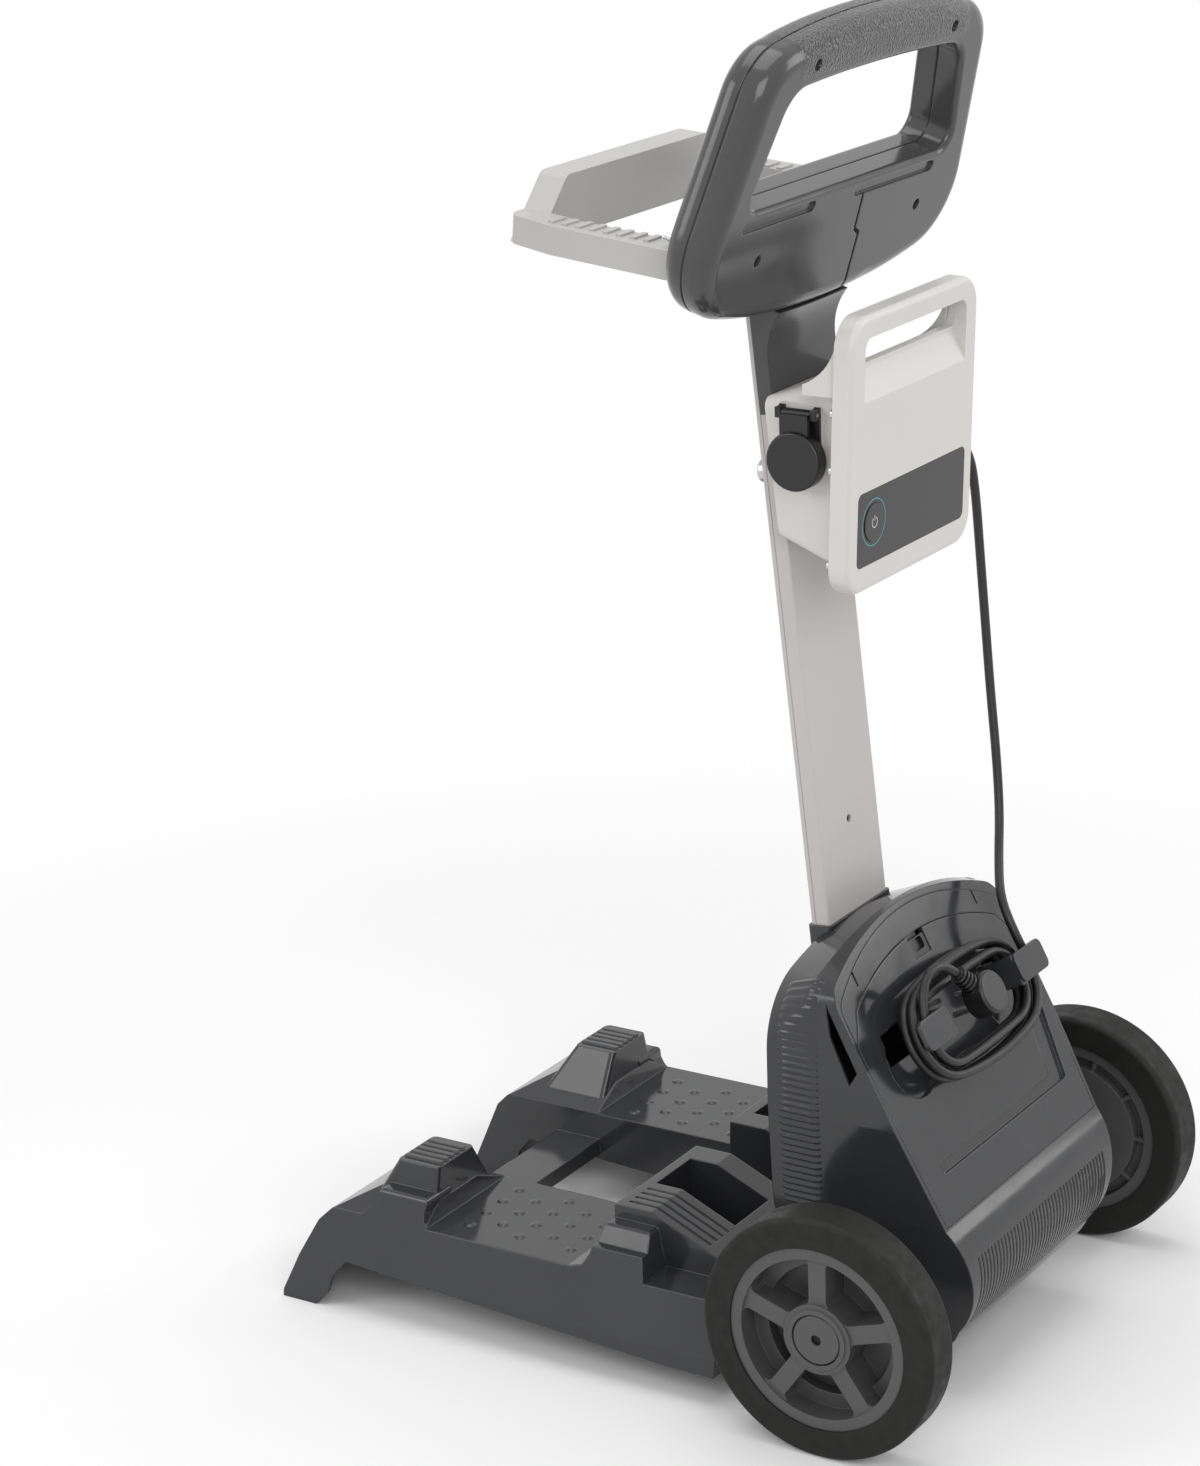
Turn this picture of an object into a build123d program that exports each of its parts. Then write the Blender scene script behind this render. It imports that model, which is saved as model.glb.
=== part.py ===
"""Caddy for a pool-cleaning robot, with the robot's power supply hung on its post.

Millimetres. +X is the user's left, +Y the rear (the user's side), Z up from the ground.
Lengths along Y are taken from the axle line, which lies AXLE_Y behind the origin.
"""
import os
from math import asin, ceil, cos, dist, radians, sin, sqrt, tan

from build123d import *

# Overall
FRONT_REACH = 532.0          # axle line to the tips of the front feet
WHEEL_D = 200.0
AXLE_Y = (FRONT_REACH - WHEEL_D / 2) / 2
AXLE_Z = WHEEL_D / 2
FIT = 0.3                    # gap between parts that are set into each other
RUNNING = 0.05               # radial clearance of a turning fit

# Wheels and axle
TYRE_W = 37.0
WHEEL_OUT_X = 243.0          # outer face of a wheel
RIM_R = 75.5
RIM_INNER_R = 66.0
HUB_R = 29.0
SPOKES = 5
SPOKE_W = 15.0
WINDOW_R = 5.0
CHANNEL_R = 57.0             # inner edge of the channel on the wheel's inner side
CHANNEL_DEPTH = 11.0
AXLE_D = 12.0
BUSH_D = 18.0
WHEEL_IN_X = WHEEL_OUT_X - TYRE_W
AXLE_CAP_R = 20.0
AXLE_CAP_T = 5.0
AXLE_CAP_HOLE_R = 4.4
HUB_RECESS = 6.0

# Platform
WALL = 3.2
ARM_IN_X = 73.5
ARM_TOP_X = 193.0
ARM_SKIRT_X = 210.0
ARM_TOP_Z = 82.4
ARM_END_Y = -110.0
SKIRT_Z = 40.0
SHOULDER_Z = 97.5
SHOULDER_X = 165.0
FRONT_HUMP_Z = 125.0
FRONT_HUMP_X = (111.0, 165.0)
FRONT_HUMP_Y = (-442.0, -401.0)
FRONT_HUMP_FOOT_X = (84.0, 176.0)
FRONT_HUMP_FOOT_Y = (-468.0, -399.5)
REAR_HUMP_Z = 127.0
REAR_HUMP_X = (28.0, 156.0)
REAR_HUMP_Y = (-233.0, -199.0)
REAR_HUMP_BREAK = (-143.0, 102.5)
REAR_HUMP_BACK_Z = 84.0
FRONT_TAB = ((-462.0, 82.4), (-453.0, 91.0), (-447.0, 105.0), (-398.5, 105.0), (-400.5, 93.0),
             (-399.0, 86.0), (-397.0, 82.4))
FRONT_TAB_FACE = ((184.0, 105.0),)
REAR_TAB = ((-257.0, 82.4), (-244.0, 85.8), (-238.5, 95.0), (-234.5, 115.0), (-192.0, 115.0),
            (-190.0, 100.0), (-186.0, 84.0))
REAR_TAB_FACE = ((169.0, 115.0), (177.0, 101.0), (185.5, 101.0))
TAB_R = 4.0
POCKET_X = (52.0, 107.0)
POCKET_Y = (-224.0, -150.0)
POCKET_FLOOR_Z = 44.0
POCKET_WALL = 2.6
RIDGE_W = 4.6
RIDGE_H = 1.6
RIDGE_PITCH = 8.2
CROSSBAR_Y = (-440.0, -395.0)
CROSSBAR_Z = (44.0, 58.0)
TONGUE_X = 104.0
TONGUE_Y = (-236.0, -12.0)
TONGUE_T = 6.0
DIMPLE_R = 7.0
DIMPLE_TOP_R = 3.0
DIMPLE_H = 1.2
DIMPLE_STEP = 25.0

TONGUE_SCREWS = ((-70.0, -70.0), (-70.0, -28.0), (70.0, -70.0), (70.0, -28.0))
TONGUE_SCREW_D = 5.0
TONGUE_SCREW_HEAD_D = 10.0
TONGUE_SCREW_L = 14.0

# Housing
HOUSING_WALL = 3.0
HOUSING_FRONT_Y = -97.0
HOUSING_FLOOR_Z = 32.0
HOUSING_TOP_Z = 367.0
HOUSING_SHOULDER_Z = 338.0
HOUSING_HALF_W = 141.0
HOUSING_WAIST = ((136.0, 158.0), (117.0, 64.6), (112.0, 32.0))
SHOULDER_R = 24.0
ARCH_Y = -60.0               # forwards from here the arch rounds off and falls
FRONT_SHOULDER_R = 58.0
FRONT_DROP = 15.0
WAIST_TOP_Z = 235.0
SIDE_SLOT = ((-44.0, 331.0), (-17.0, 278.0), (-24.0, 266.0), (-40.5, 304.0))
SIDE_SLOT_DEPTH = 25.0
PANEL_Y = 56.7               # foot of the sloping rear panel
PANEL_Z = 158.1
PANEL_LEAN = 28.0            # degrees, forwards from upright
BARREL_BULGE = (75.0, 112.0)
BARREL_FOOT = (57.7, 64.6)
BARREL_UNDER = (40.0, 42.0)
FLOOR_END_Y = 8.0
BARREL_AXIS = (4.6, 111.4)
BARREL_R = 70.4
AXLE_BOSS_R = 17.0
AXLE_BOSS_X = (92.0, 128.0)
BUSH_FLANGE_R = 14.0
BUSH_FLANGE_T = 3.0
RIB_PITCH = 5.6
RIBS = 20                    # each side of the middle
RIB_DEPTH = 0.9
RIB_REACH = 15.0
RIB_TURNS = (-41.0, -12.5, 16.0)    # degrees about the barrel's axis
RIB_SHARE = 0.2               # half of a groove, as a share of the pitch

# Rear cover, lid and cord hooks, measured up the sloping panel from its foot
COVER_T = 4.0
COVER_HALF_W = 136.6
COVER_FOOT_HALF_W = 131.6
COVER_FOOT_S = 2.0
COVER_KNEE_S = 90.0
COVER_CORNER_R = 14.0
COVER_NOTCH = (101.6, 205.0)  # each side of the middle, and up the panel
COVER_NOTCH_SIZE = (2.4, 13.0)
COVER_SIDE_S = 192.0
COVER_TOP_S = 231.5
LID_T = 5.0
LID_SIDE_S = 158.0
LID_CORNER = (118.0, 183.0)
LID_TOP_S = 209.0
LID_GAP = 0.6
LATCH_W = 26.0
LATCH_H = 20.0
HOOK_S = 143.0
HOOK_H = 25.0
HOOK_DISH = (80.0, 127.0)     # shallow round recess below each hook
HOOK_DISH_R = 31.0
HOOK_IN_X = 58.0
HOOK_STEM_T = 10.0
HOOK_STEM_H = 26.0
HOOK_PLATE_X = 104.0
HOOK_REACH = 34.0
HOOK_PLATE_T = 4.0
GROOVE_DEPTH = 3.2
CORD_GROOVE = ((-105.0, 37.0), (113.0, 37.0), (126.0, 102.0), (100.0, 103.0), (90.0, 47.0),
               (-105.0, 47.0))
CORD_GROOVE_R = 4.0

# Post
POST_W = 95.6
POST_D = 16.5
POST_WALL = 2.2
POST_LEAN = 5.78             # degrees, forwards from upright
POST_Y = -55.4               # rear face of the post at ground level
POST_FOOT_U = 37.0
POST_TOP_U = 905.0
SLEEVE_WALL = 6.0
SLEEVE_U = (150.0, 334.0)
COLLAR_U = (326.0, 357.0)
COLLAR_T = 2.0
POST_BOLT_U = (200.0, 305.0)
POST_BOLT_D = 8.0
POST_HOLE_U = 432.0
POST_HOLE_D = 6.5

# Handle, measured in the plane of its rear face
HANDLE_LEAN = 17.2           # degrees, backwards from upright
HANDLE_Y = -100.3
HANDLE_Z = 902.1
HANDLE_DEPTH = 42.0
HANDLE_TOP = 176.0
HANDLE_LOW = -60.0
HANDLE_LOW_HALF_W = 208.0
HANDLE_UP_HALF_W = 172.0
GRIP_W = 39.0
HANDLE_BELLY = 30.0          # how far the lower and upper edges bow out
HANDLE_CROWN = 19.0
HANDLE_LOW_R = 60.0
HANDLE_UP_R = 45.0
HANDLE_SILL = 42.0
OPENING_CROWN = 5.0
OPENING_LOW_R = 14.0
OPENING_UP_R = 28.0
ARCH_FLATTER = 1.25          # the middle of an edge, against an even arc
ARCH_SHARE = 0.4
HANDLE_EDGE_R = 15.0
OPENING_EDGE_R = 5.0
HANDLE_HOLLOW = 7.0
HANDLE_SCREWS = ((-107.1, 150.1), (107.1, 150.1), (-124.7, 0.0), (124.7, 0.0))
HANDLE_SCREW_D = 5.0
HANDLE_SCREW_HEAD_D = 9.0
NECK_HALF_W = 53.0
NECK_FOOT_Z = 768.0
NECK_THIN = 3.0
NECK_THIN_U = 813.0
NECK_FLARE = ((8.0, 836.0), (22.0, 853.0))    # behind the post, and up it
NECK_LAP = 9.0               # of the neck round the post's sides
SEAM_W = 1.6
SEAM_DEPTH = 1.2
SILL_GROOVES = ((-107.0, 108.0), (72.0, 128.0))    # middle and length of each, in the handle's plane
SILL_GROOVE_T = 31.5
SILL_GROOVE_W = 9.0
SILL_GROOVE_DEPTH = 2.6
CENTRE_SEAM = ((33.0, -75.0), (33.0, -6.5), (25.0, -2.0), (24.0, 31.0))
CENTRE_SEAM_W = 3.4

# Cable cradle, measured in its own plane, which rises to the front
CRADLE_RISE = 5.5
CRADLE_Y = -180.0
CRADLE_Z = 915.7
CRADLE_T = 22.0
CRADLE_FRONT = 124.0
CRADLE_FRONT_HALF_W = 147.0
CRADLE_ARM_X = (129.0, 163.0)
CRADLE_WALL_T = 24.0
CRADLE_WALL_H = 26.5
CRADLE_WALL_TOP_HALF_W = 104.0

# Power supply: front cover measured in the plane of its rear face
SUPPLY_LEAN = 2.5
SUPPLY_Y = -38.0
SUPPLY_Z = 740.0
COVER_HALF_X = 102.0
COVER_LOW = -97.0
COVER_HIGH = 118.0
COVER_R = 24.0
COVER_DEPTH = 16.0
COVER_SKIN = 4.0
CASE_SKIN = 2.6
CASE_POST_GAP = 3.6
CASE_FRONT_HALF_X = 66.0
CASE_FRONT_U = (678.0, 788.0)
CASE_REAR_HALF_X = 83.0
CASE_REAR_T = (-83.0, 72.0)
LIP_T = 3.0
LIP_HALF_X = 97.0
LIP_R = 18.0
SLOT_HALF_X = 82.0
SLOT_T = (79.0, 101.0)
DISPLAY_HALF_X = 87.0
DISPLAY_T = (-76.0, -18.0)
DISPLAY_SKIN = 1.4
BUTTON_X = 61.5
BUTTON_T = -44.0
BUTTON_D = 30.0
BUTTON_DEPTH = 6.0
BUTTON_TRAVEL = 0.8
SOCKET_Y = -92.0
SOCKET_Z = 744.0
SOCKET_D = 36.0
SOCKET_BORE_D = 24.0
SOCKET_PAD_D = 44.0
SOCKET_PAD_X = 79.0
SOCKET_OUT_X = 87.0
CAP_D = 46.0
CAP_T = 6.0
CAP_GAP = 0.5
CAP_HINGE = (84.0, 780.0)
CAP_PIN_D = 3.0
CAP_BARREL_R = 3.6
CAP_STRAP_W = 24.0
LUG_T = 5.0
SEAT_HALF_Y = 19.0           # flat on the case under the hinge
HINGE_PLATE_T = 2.0
CHEEK_X = (78.0, 97.0)
CHEEK_TOP = (-50.2, 843.0)
CHEEK_BACK = ((-50.9, 816.3), (-53.5, 816.3), (-53.5, 798.0), (-80.0, 798.0))
CHEEK_FRONT = (-80.0, 806.0)
CHEEK_SWEEP = (-59.0, 822.0)
GLAND_Y = -78.0
GLAND_Z = 715.0
GLAND_X = -112.0
GLAND_BASE_D = 20.0
GLAND_TIP_D = 11.0
RAIL_U = (704.0, 764.0)
RAIL_HALF_X = 44.0
RAIL_T = 3.0
RAIL_STEM_HALF_X = 8.0
RAIL_HEAD_HALF_X = 16.0
RAIL_HEAD_T = 3.0
RAIL_HEAD_U = (740.0, 756.0)
LIFT = 22.0
RAIL_BOLT_X = 34.0
RAIL_BOLT_U = 724.0
RAIL_BOLT_D = 8.0
RAIL_BOLT_HEAD_D = 19.0
BOARD_HALF_X = 66.0
BOARD_T = (-70.0, 40.0)
BOARD_SKIN = 1.6
STANDOFF = 10.0
SUPPLY_SCREW_D = 4.0

# Cord, plug and coil; the coil is measured on the panel like the hooks
CORD_D = 7.6
COIL_S = 136.0
COIL_HALF_X = 93.0
COIL_HALF_S = 42.5
COIL_PITCH = 8.6
LAYER_STEP = (11.0, 12.5)     # from the outer to the inner layer, along x and up the panel
COIL_TURNS = 2               # whole turns in each of the two layers
COIL_OUT = 27.0              # outermost turn, above the panel
PLUG_D = 36.0
PLUG_T = 21.0
PLUG_NECK_D = 17.0
RELIEF_L = 18.0
RELIEF_D = 14.0
RELIEF_RINGS = 4
PIN_D = 4.8
PIN_L = 19.0
PIN_GAP = 19.0

os.makedirs("parts", exist_ok=True)


def export(piece, name):
    """Label one finished sub-part and write its STEP file."""
    piece.label = name
    export_step(piece, f"parts/{name}.step")


def side_plane(x=0.0):
    """Upright plane facing +X; its sketch holds (y from the axle, z)."""
    return Plane(origin=(x, AXLE_Y, 0), x_dir=(0, 1, 0), z_dir=(1, 0, 0))


def cross_plane(y=0.0):
    """Upright plane facing the front; its sketch holds (x, z)."""
    return Plane(origin=(0, AXLE_Y + y, 0), x_dir=(1, 0, 0), z_dir=(0, -1, 0))


def level_plane(z):
    """Level plane; its sketch holds (x, y from the axle)."""
    return Plane(origin=(0, AXLE_Y, z))


LEAN = radians(POST_LEAN)
POST_UP = Vector(0, -sin(LEAN), cos(LEAN))
POST_REAR = Vector(0, cos(LEAN), sin(LEAN))
POST_FOOT = Vector(0, AXLE_Y + POST_Y, 0)
SLOPE = radians(PANEL_LEAN)
PANEL_UP = Vector(0, -sin(SLOPE), cos(SLOPE))
PANEL_OUT = Vector(0, cos(SLOPE), sin(SLOPE))
PANEL_FOOT = Vector(0, AXLE_Y + PANEL_Y, PANEL_Z)


def post_plane(u=0.0):
    """Plane across the post; its sketch holds (x, distance behind the post's rear face)."""
    return Plane(origin=POST_FOOT + POST_UP * u, x_dir=(1, 0, 0), z_dir=POST_UP)


def post_face(n=0.0):
    """Plane along the post's rear face; its sketch holds (-x, height up the post)."""
    return Plane(origin=POST_FOOT + POST_REAR * n, x_dir=(-1, 0, 0), z_dir=POST_REAR)


def panel_plane(out=0.0):
    """Plane of the rear panel; its sketch holds (-x, height up the panel)."""
    return Plane(origin=PANEL_FOOT + PANEL_OUT * out, x_dir=(-1, 0, 0), z_dir=PANEL_OUT)


def panel_point(x, s, out):
    """Point over the rear panel: x, height up the panel and distance off it."""
    return PANEL_FOOT + Vector(x, 0, 0) + PANEL_UP * s + PANEL_OUT * out


def lean_back_plane(y, z, lean, off=0.0):
    """Plane facing the rear that leans back; its sketch holds (-x, height up the plane)."""
    facing = Vector(0, cos(radians(lean)), -sin(radians(lean)))
    return Plane(origin=Vector(0, AXLE_Y + y, z) + facing * off, x_dir=(-1, 0, 0), z_dir=facing)


def handle_plane(off=0.0):
    return lean_back_plane(HANDLE_Y, HANDLE_Z, HANDLE_LEAN, off)


def supply_plane(off=0.0):
    return lean_back_plane(SUPPLY_Y, SUPPLY_Z, SUPPLY_LEAN, off)


def cradle_plane(off=0.0):
    """Plane of the cradle's arms; its sketch holds (x, distance to the rear)."""
    up = Vector(0, sin(radians(CRADLE_RISE)), cos(radians(CRADLE_RISE)))
    return Plane(origin=Vector(0, AXLE_Y + CRADLE_Y, CRADLE_Z) + up * off, x_dir=(1, 0, 0), z_dir=up)


def axle_plane(x):
    """Plane facing +X centred on the axle."""
    return Plane(origin=(x, AXLE_Y, AXLE_Z), x_dir=(0, 1, 0), z_dir=(1, 0, 0))


def span(pair):
    """Length and middle of a (low, high) pair."""
    return pair[1] - pair[0], (pair[0] + pair[1]) / 2


def block(x, y, z):
    """Box from three (low, high) pairs, with y from the axle."""
    (width, mid_x), (length, mid_y), (height, mid_z) = span(x), span(y), span(z)
    with BuildPart() as box:
        with Locations((mid_x, AXLE_Y + mid_y, mid_z)):
            Box(width, length, height)
    return box.part


# Platform: two moulded arms with humps, joined by a crossbar and a rear tongue
FOOT_NOSE = ((-FRONT_REACH, 6.0), (-FRONT_REACH + 10, 28.0), (-FRONT_REACH + 29, 70.0),
             (-FRONT_REACH + 40, 81.0), (-FRONT_REACH + 56, 89.5), (-FRONT_REACH + 72, SHOULDER_Z))
BELOW = -30.0
FRONT_SHOULDER_END = FRONT_HUMP_FOOT_Y[1]
FOOT_HEEL = ((-498.0, 0.0), (-486.0, 13.0), (-482.0, 28.0), (-469.0, 43.0))
TONGUE_Z = HOUSING_FLOOR_Z - TONGUE_T
SKIRT_EDGE = ((-313.0, 34.5), (-153.0, TONGUE_Z))


def arm_form(inset):
    """One arm's outer form, or its hollow when inset by a wall; open below."""
    with BuildPart() as form:
        with BuildSketch(side_plane(0)):
            with BuildLine():
                Polyline(
                    (-FRONT_REACH, BELOW), *FOOT_NOSE,
                    (FRONT_SHOULDER_END, SHOULDER_Z), (FRONT_SHOULDER_END + 3, ARM_TOP_Z),
                    (ARM_END_Y, ARM_TOP_Z), (ARM_END_Y, BELOW), close=True,
                )
            make_face()
            if inset:
                offset(amount=-inset, kind=Kind.INTERSECTION)
        extrude(amount=WHEEL_OUT_X)
        with BuildSketch(cross_plane(0)):
            with BuildLine():
                Polyline(
                    (ARM_IN_X, BELOW), (ARM_IN_X, ARM_TOP_Z), (FRONT_HUMP_X[0], SHOULDER_Z),
                    (SHOULDER_X, SHOULDER_Z), (ARM_TOP_X, ARM_TOP_Z), (ARM_SKIRT_X, SKIRT_Z),
                    (ARM_SKIRT_X + 9, BELOW), close=True,
                )
            make_face()
            if inset:
                offset(amount=-inset, kind=Kind.INTERSECTION)
        extrude(amount=FRONT_REACH + WHEEL_D, both=True, mode=Mode.INTERSECT)
    return form.part


def side_tab_form(outline, outer_face, inset):
    """Tab outside a hump, which carries on the lean of the arm's side."""
    inner_x, top_z = REAR_HUMP_X[1] - SLEEVE_WALL, outer_face[0][1]
    with BuildPart() as form:
        with BuildSketch(side_plane(0)):
            with BuildLine():
                Polyline((outline[0][0], BELOW), *outline, (outline[-1][0], BELOW), close=True)
            make_face()
            if inset:
                offset(amount=-inset, kind=Kind.INTERSECTION)
        extrude(amount=WHEEL_OUT_X)
        with BuildSketch(cross_plane(0)):
            with BuildLine():
                Polyline((inner_x, BELOW), (inner_x, top_z), *outer_face, (ARM_TOP_X, ARM_TOP_Z),
                         (ARM_SKIRT_X, SKIRT_Z), (ARM_SKIRT_X + 9, BELOW), close=True)
            make_face()
            if inset:
                offset(amount=-inset, kind=Kind.INTERSECTION)
        extrude(amount=FRONT_REACH + WHEEL_D, both=True, mode=Mode.INTERSECT)
        if not inset:
            top = form.faces().sort_by(Axis.Z)[-1]
            fillet(top.edges().filter_by(Axis.X) + [top.edges().sort_by(Axis.X)[-1]], TAB_R)
    return form.part


def front_hump_form(inset):
    """Tapered block on the front of an arm."""
    foot_w, foot_x = span(FRONT_HUMP_FOOT_X)
    foot_l, foot_y = span(FRONT_HUMP_FOOT_Y)
    top_w, top_x = span(FRONT_HUMP_X)
    top_l, top_y = span(FRONT_HUMP_Y)
    with BuildPart() as form:
        with BuildSketch(level_plane(ARM_TOP_Z - WALL)):
            with Locations((foot_x, foot_y)):
                RectangleRounded(foot_w - 2 * inset, foot_l - 2 * inset, 5.0)
        with BuildSketch(level_plane(FRONT_HUMP_Z - inset)):
            with Locations((top_x, top_y)):
                RectangleRounded(top_w - 2 * inset, top_l - 2 * inset, 5.0)
        loft(ruled=True)
        add(side_tab_form(FRONT_TAB, FRONT_TAB_FACE, inset))
    return form.part


def rear_hump_outline():
    """Side outline of the rear hump, open below."""
    with BuildLine() as outline:
        Polyline(
            (REAR_HUMP_Y[0] - 7, BELOW), REAR_HUMP_Y_TOP[0], REAR_HUMP_Y_TOP[1], REAR_HUMP_BREAK,
            (HOUSING_FRONT_Y, REAR_HUMP_BACK_Z), (HOUSING_FRONT_Y, BELOW), close=True,
        )
    return outline.line


REAR_HUMP_Y_TOP = ((REAR_HUMP_Y[0], REAR_HUMP_Z), (REAR_HUMP_Y[1], REAR_HUMP_Z))


def rear_hump_form(inset):
    """Wedge at the back of an arm, with its outer step."""
    with BuildPart() as form:
        with BuildSketch(side_plane(REAR_HUMP_X[0] + inset)):
            make_face(rear_hump_outline())
            if inset:
                offset(amount=-inset, kind=Kind.INTERSECTION)
        extrude(amount=REAR_HUMP_X[1] - REAR_HUMP_X[0] - 2 * inset)
        add(side_tab_form(REAR_TAB, REAR_TAB_FACE, inset))
    return form.part


def pocket_well():
    """Block around the rear hump's pocket, cut to the hump's outline."""
    with BuildPart() as well:
        add(rear_hump_form(0))
        add(block((POCKET_X[0] - POCKET_WALL, POCKET_X[1] + POCKET_WALL),
                  (POCKET_Y[0] - POCKET_WALL, POCKET_Y[1] + POCKET_WALL),
                  (POCKET_FLOOR_Z - POCKET_WALL, REAR_HUMP_Z + WALL)), mode=Mode.INTERSECT)
    return well.part


def under_cut():
    """Everything below the arms' lower edge, between the feet and the wheels."""
    with BuildPart() as under:
        with BuildSketch(side_plane(0)):
            with BuildLine():
                Polyline(
                    (-FRONT_REACH - 20, 0), *FOOT_HEEL, *SKIRT_EDGE,
                    (WHEEL_D, TONGUE_Z), (WHEEL_D, 3 * BELOW), (-FRONT_REACH - 20, 3 * BELOW), close=True,
                )
            make_face()
        extrude(amount=WHEEL_OUT_X, both=True)
    return under.part


DIMPLE_ROWS = (-370.0, -345.0, -320.0, -295.0, -270.0)
DIMPLE_COLUMNS = (92.0, 117.0, 142.0, 167.0)
RIDGES = 4

with BuildPart() as platform:
    add(arm_form(0))
    add(front_hump_form(0))
    add(rear_hump_form(0))
    add(arm_form(WALL), mode=Mode.SUBTRACT)
    add(front_hump_form(WALL), mode=Mode.SUBTRACT)
    add(rear_hump_form(WALL), mode=Mode.SUBTRACT)
    add(pocket_well())
    add(block(POCKET_X, POCKET_Y, (POCKET_FLOOR_Z, REAR_HUMP_Z + WALL)), mode=Mode.SUBTRACT)
    for ridge in range(RIDGES + 1):
        at_x = span(FRONT_HUMP_X)[1] + (ridge - RIDGES / 2) * RIDGE_PITCH
        add(block((at_x - RIDGE_W / 2, at_x + RIDGE_W / 2), (FRONT_HUMP_Y[0] + 2, FRONT_HUMP_Y[1] - 3),
                  (FRONT_HUMP_Z - 1, FRONT_HUMP_Z + RIDGE_H)))
    for ridge in range(RIDGES):
        at_x = POCKET_X[1] + 10 + ridge * (RIDGE_PITCH + 1)
        with BuildSketch(side_plane(at_x)):
            make_face(rear_hump_outline())
            offset(amount=-RIDGE_H, kind=Kind.INTERSECTION, mode=Mode.SUBTRACT)
            with Locations(((POCKET_Y[0] + POCKET_Y[1]) / 2, REAR_HUMP_Z)):
                Rectangle(POCKET_Y[1] - POCKET_Y[0] + 2, WHEEL_D / 2, mode=Mode.INTERSECT)
        extrude(amount=RIDGE_W - 1, mode=Mode.SUBTRACT)
    for row, row_y in enumerate(DIMPLE_ROWS):
        for column_x in DIMPLE_COLUMNS:
            shifted_x = column_x + (DIMPLE_STEP / 2 if row % 2 else 0)
            if shifted_x < ARM_TOP_X - 2 * DIMPLE_R:
                with Locations((shifted_x, AXLE_Y + row_y, ARM_TOP_Z)):
                    Cone(DIMPLE_R, DIMPLE_TOP_R, 2 * DIMPLE_H)
    mirror(about=Plane.YZ)
    add(block((-ARM_IN_X - 1, ARM_IN_X + 1), CROSSBAR_Y, CROSSBAR_Z))
    add(block((-TONGUE_X, TONGUE_X), TONGUE_Y, (TONGUE_Z, HOUSING_FLOOR_Z)))
    add(under_cut(), mode=Mode.SUBTRACT)
    with BuildSketch(level_plane(TONGUE_Z)):
        with Locations(*TONGUE_SCREWS):
            Circle(TONGUE_SCREW_D / 2)
    extrude(amount=TONGUE_T, mode=Mode.SUBTRACT)
export(platform.part, "platform")

with BuildPart() as platform_screws:
    with BuildSketch(level_plane(TONGUE_Z)):
        with Locations(*TONGUE_SCREWS):
            Circle(TONGUE_SCREW_D / 2)
    extrude(amount=TONGUE_SCREW_L)
    with BuildSketch(level_plane(TONGUE_Z)):
        with Locations(*TONGUE_SCREWS):
            Circle(TONGUE_SCREW_HEAD_D / 2)
    extrude(amount=-3.5)
export(platform_screws.part, "platform_screws")


# Housing: hollow arch behind the platform, cut back along the sloping rear panel
def housing_section(y, inset, shoulder_r, drop):
    """Cross section of the housing, with its arch lowered by drop."""
    half, shoulder_z = HOUSING_HALF_W - inset, HOUSING_SHOULDER_Z - inset - drop
    right = [(half, shoulder_z), (half, WAIST_TOP_Z)] + [(x - inset, z) for x, z in HOUSING_WAIST]
    left = [(-x, z) for x, z in reversed(right)]
    with BuildSketch(cross_plane(y)) as section:
        with BuildLine():
            Polyline(*right, *left)
            ThreePointArc(left[-1], (0, HOUSING_TOP_Z - inset - drop), right[0])
        make_face()
        fillet(section.vertices().sort_by(Axis.Y)[-2:], shoulder_r - inset)
    return section.sketch.face()


def housing_form(inset):
    """Outer form of the housing, or its hollow when inset by a wall."""
    front_y, floor_z, top_z = HOUSING_FRONT_Y + inset, HOUSING_FLOOR_Z + inset, HOUSING_TOP_Z + 5
    panel_y = PANEL_Y - inset / cos(SLOPE)
    top_y = panel_y - (top_z - PANEL_Z) * tan(SLOPE)
    foot = (BARREL_FOOT[0] - inset, BARREL_FOOT[1])
    under = (BARREL_UNDER[0] - inset / 2, BARREL_UNDER[1] + inset / 2)
    rear = housing_section(ARCH_Y, inset, SHOULDER_R, 0)
    with BuildPart() as form:
        loft([housing_section(front_y, inset, FRONT_SHOULDER_R, FRONT_DROP), rear], ruled=True)
        extrude(rear, amount=WHEEL_D, dir=(0, 1, 0))
        with BuildSketch(side_plane(0)):
            with BuildLine():
                Polyline((FLOOR_END_Y, floor_z), (front_y, floor_z), (front_y, top_z), (top_y, top_z),
                         (panel_y, PANEL_Z))
                ThreePointArc((panel_y, PANEL_Z), (BARREL_BULGE[0] - inset, BARREL_BULGE[1]), foot)
                ThreePointArc(foot, under, (FLOOR_END_Y, floor_z))
            make_face()
        extrude(amount=2 * HOUSING_HALF_W, both=True, mode=Mode.INTERSECT)
    return form.part


def cover_outline(gap):
    """Outline of everything set into the rear of the housing."""
    half, foot, side = COVER_HALF_W + gap, COVER_FOOT_HALF_W + gap, COVER_SIDE_S
    with BuildSketch(panel_plane()) as outline:
        with BuildLine():
            Polyline((-half, side), (-half, COVER_KNEE_S), (-foot, COVER_FOOT_S - gap),
                     (foot, COVER_FOOT_S - gap), (half, COVER_KNEE_S), (half, side))
            ThreePointArc((half, side), (0, COVER_TOP_S + gap), (-half, side))
        make_face()
        fillet(outline.vertices().sort_by(Axis.Y)[-2:], COVER_CORNER_R)
    return outline.sketch


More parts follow.
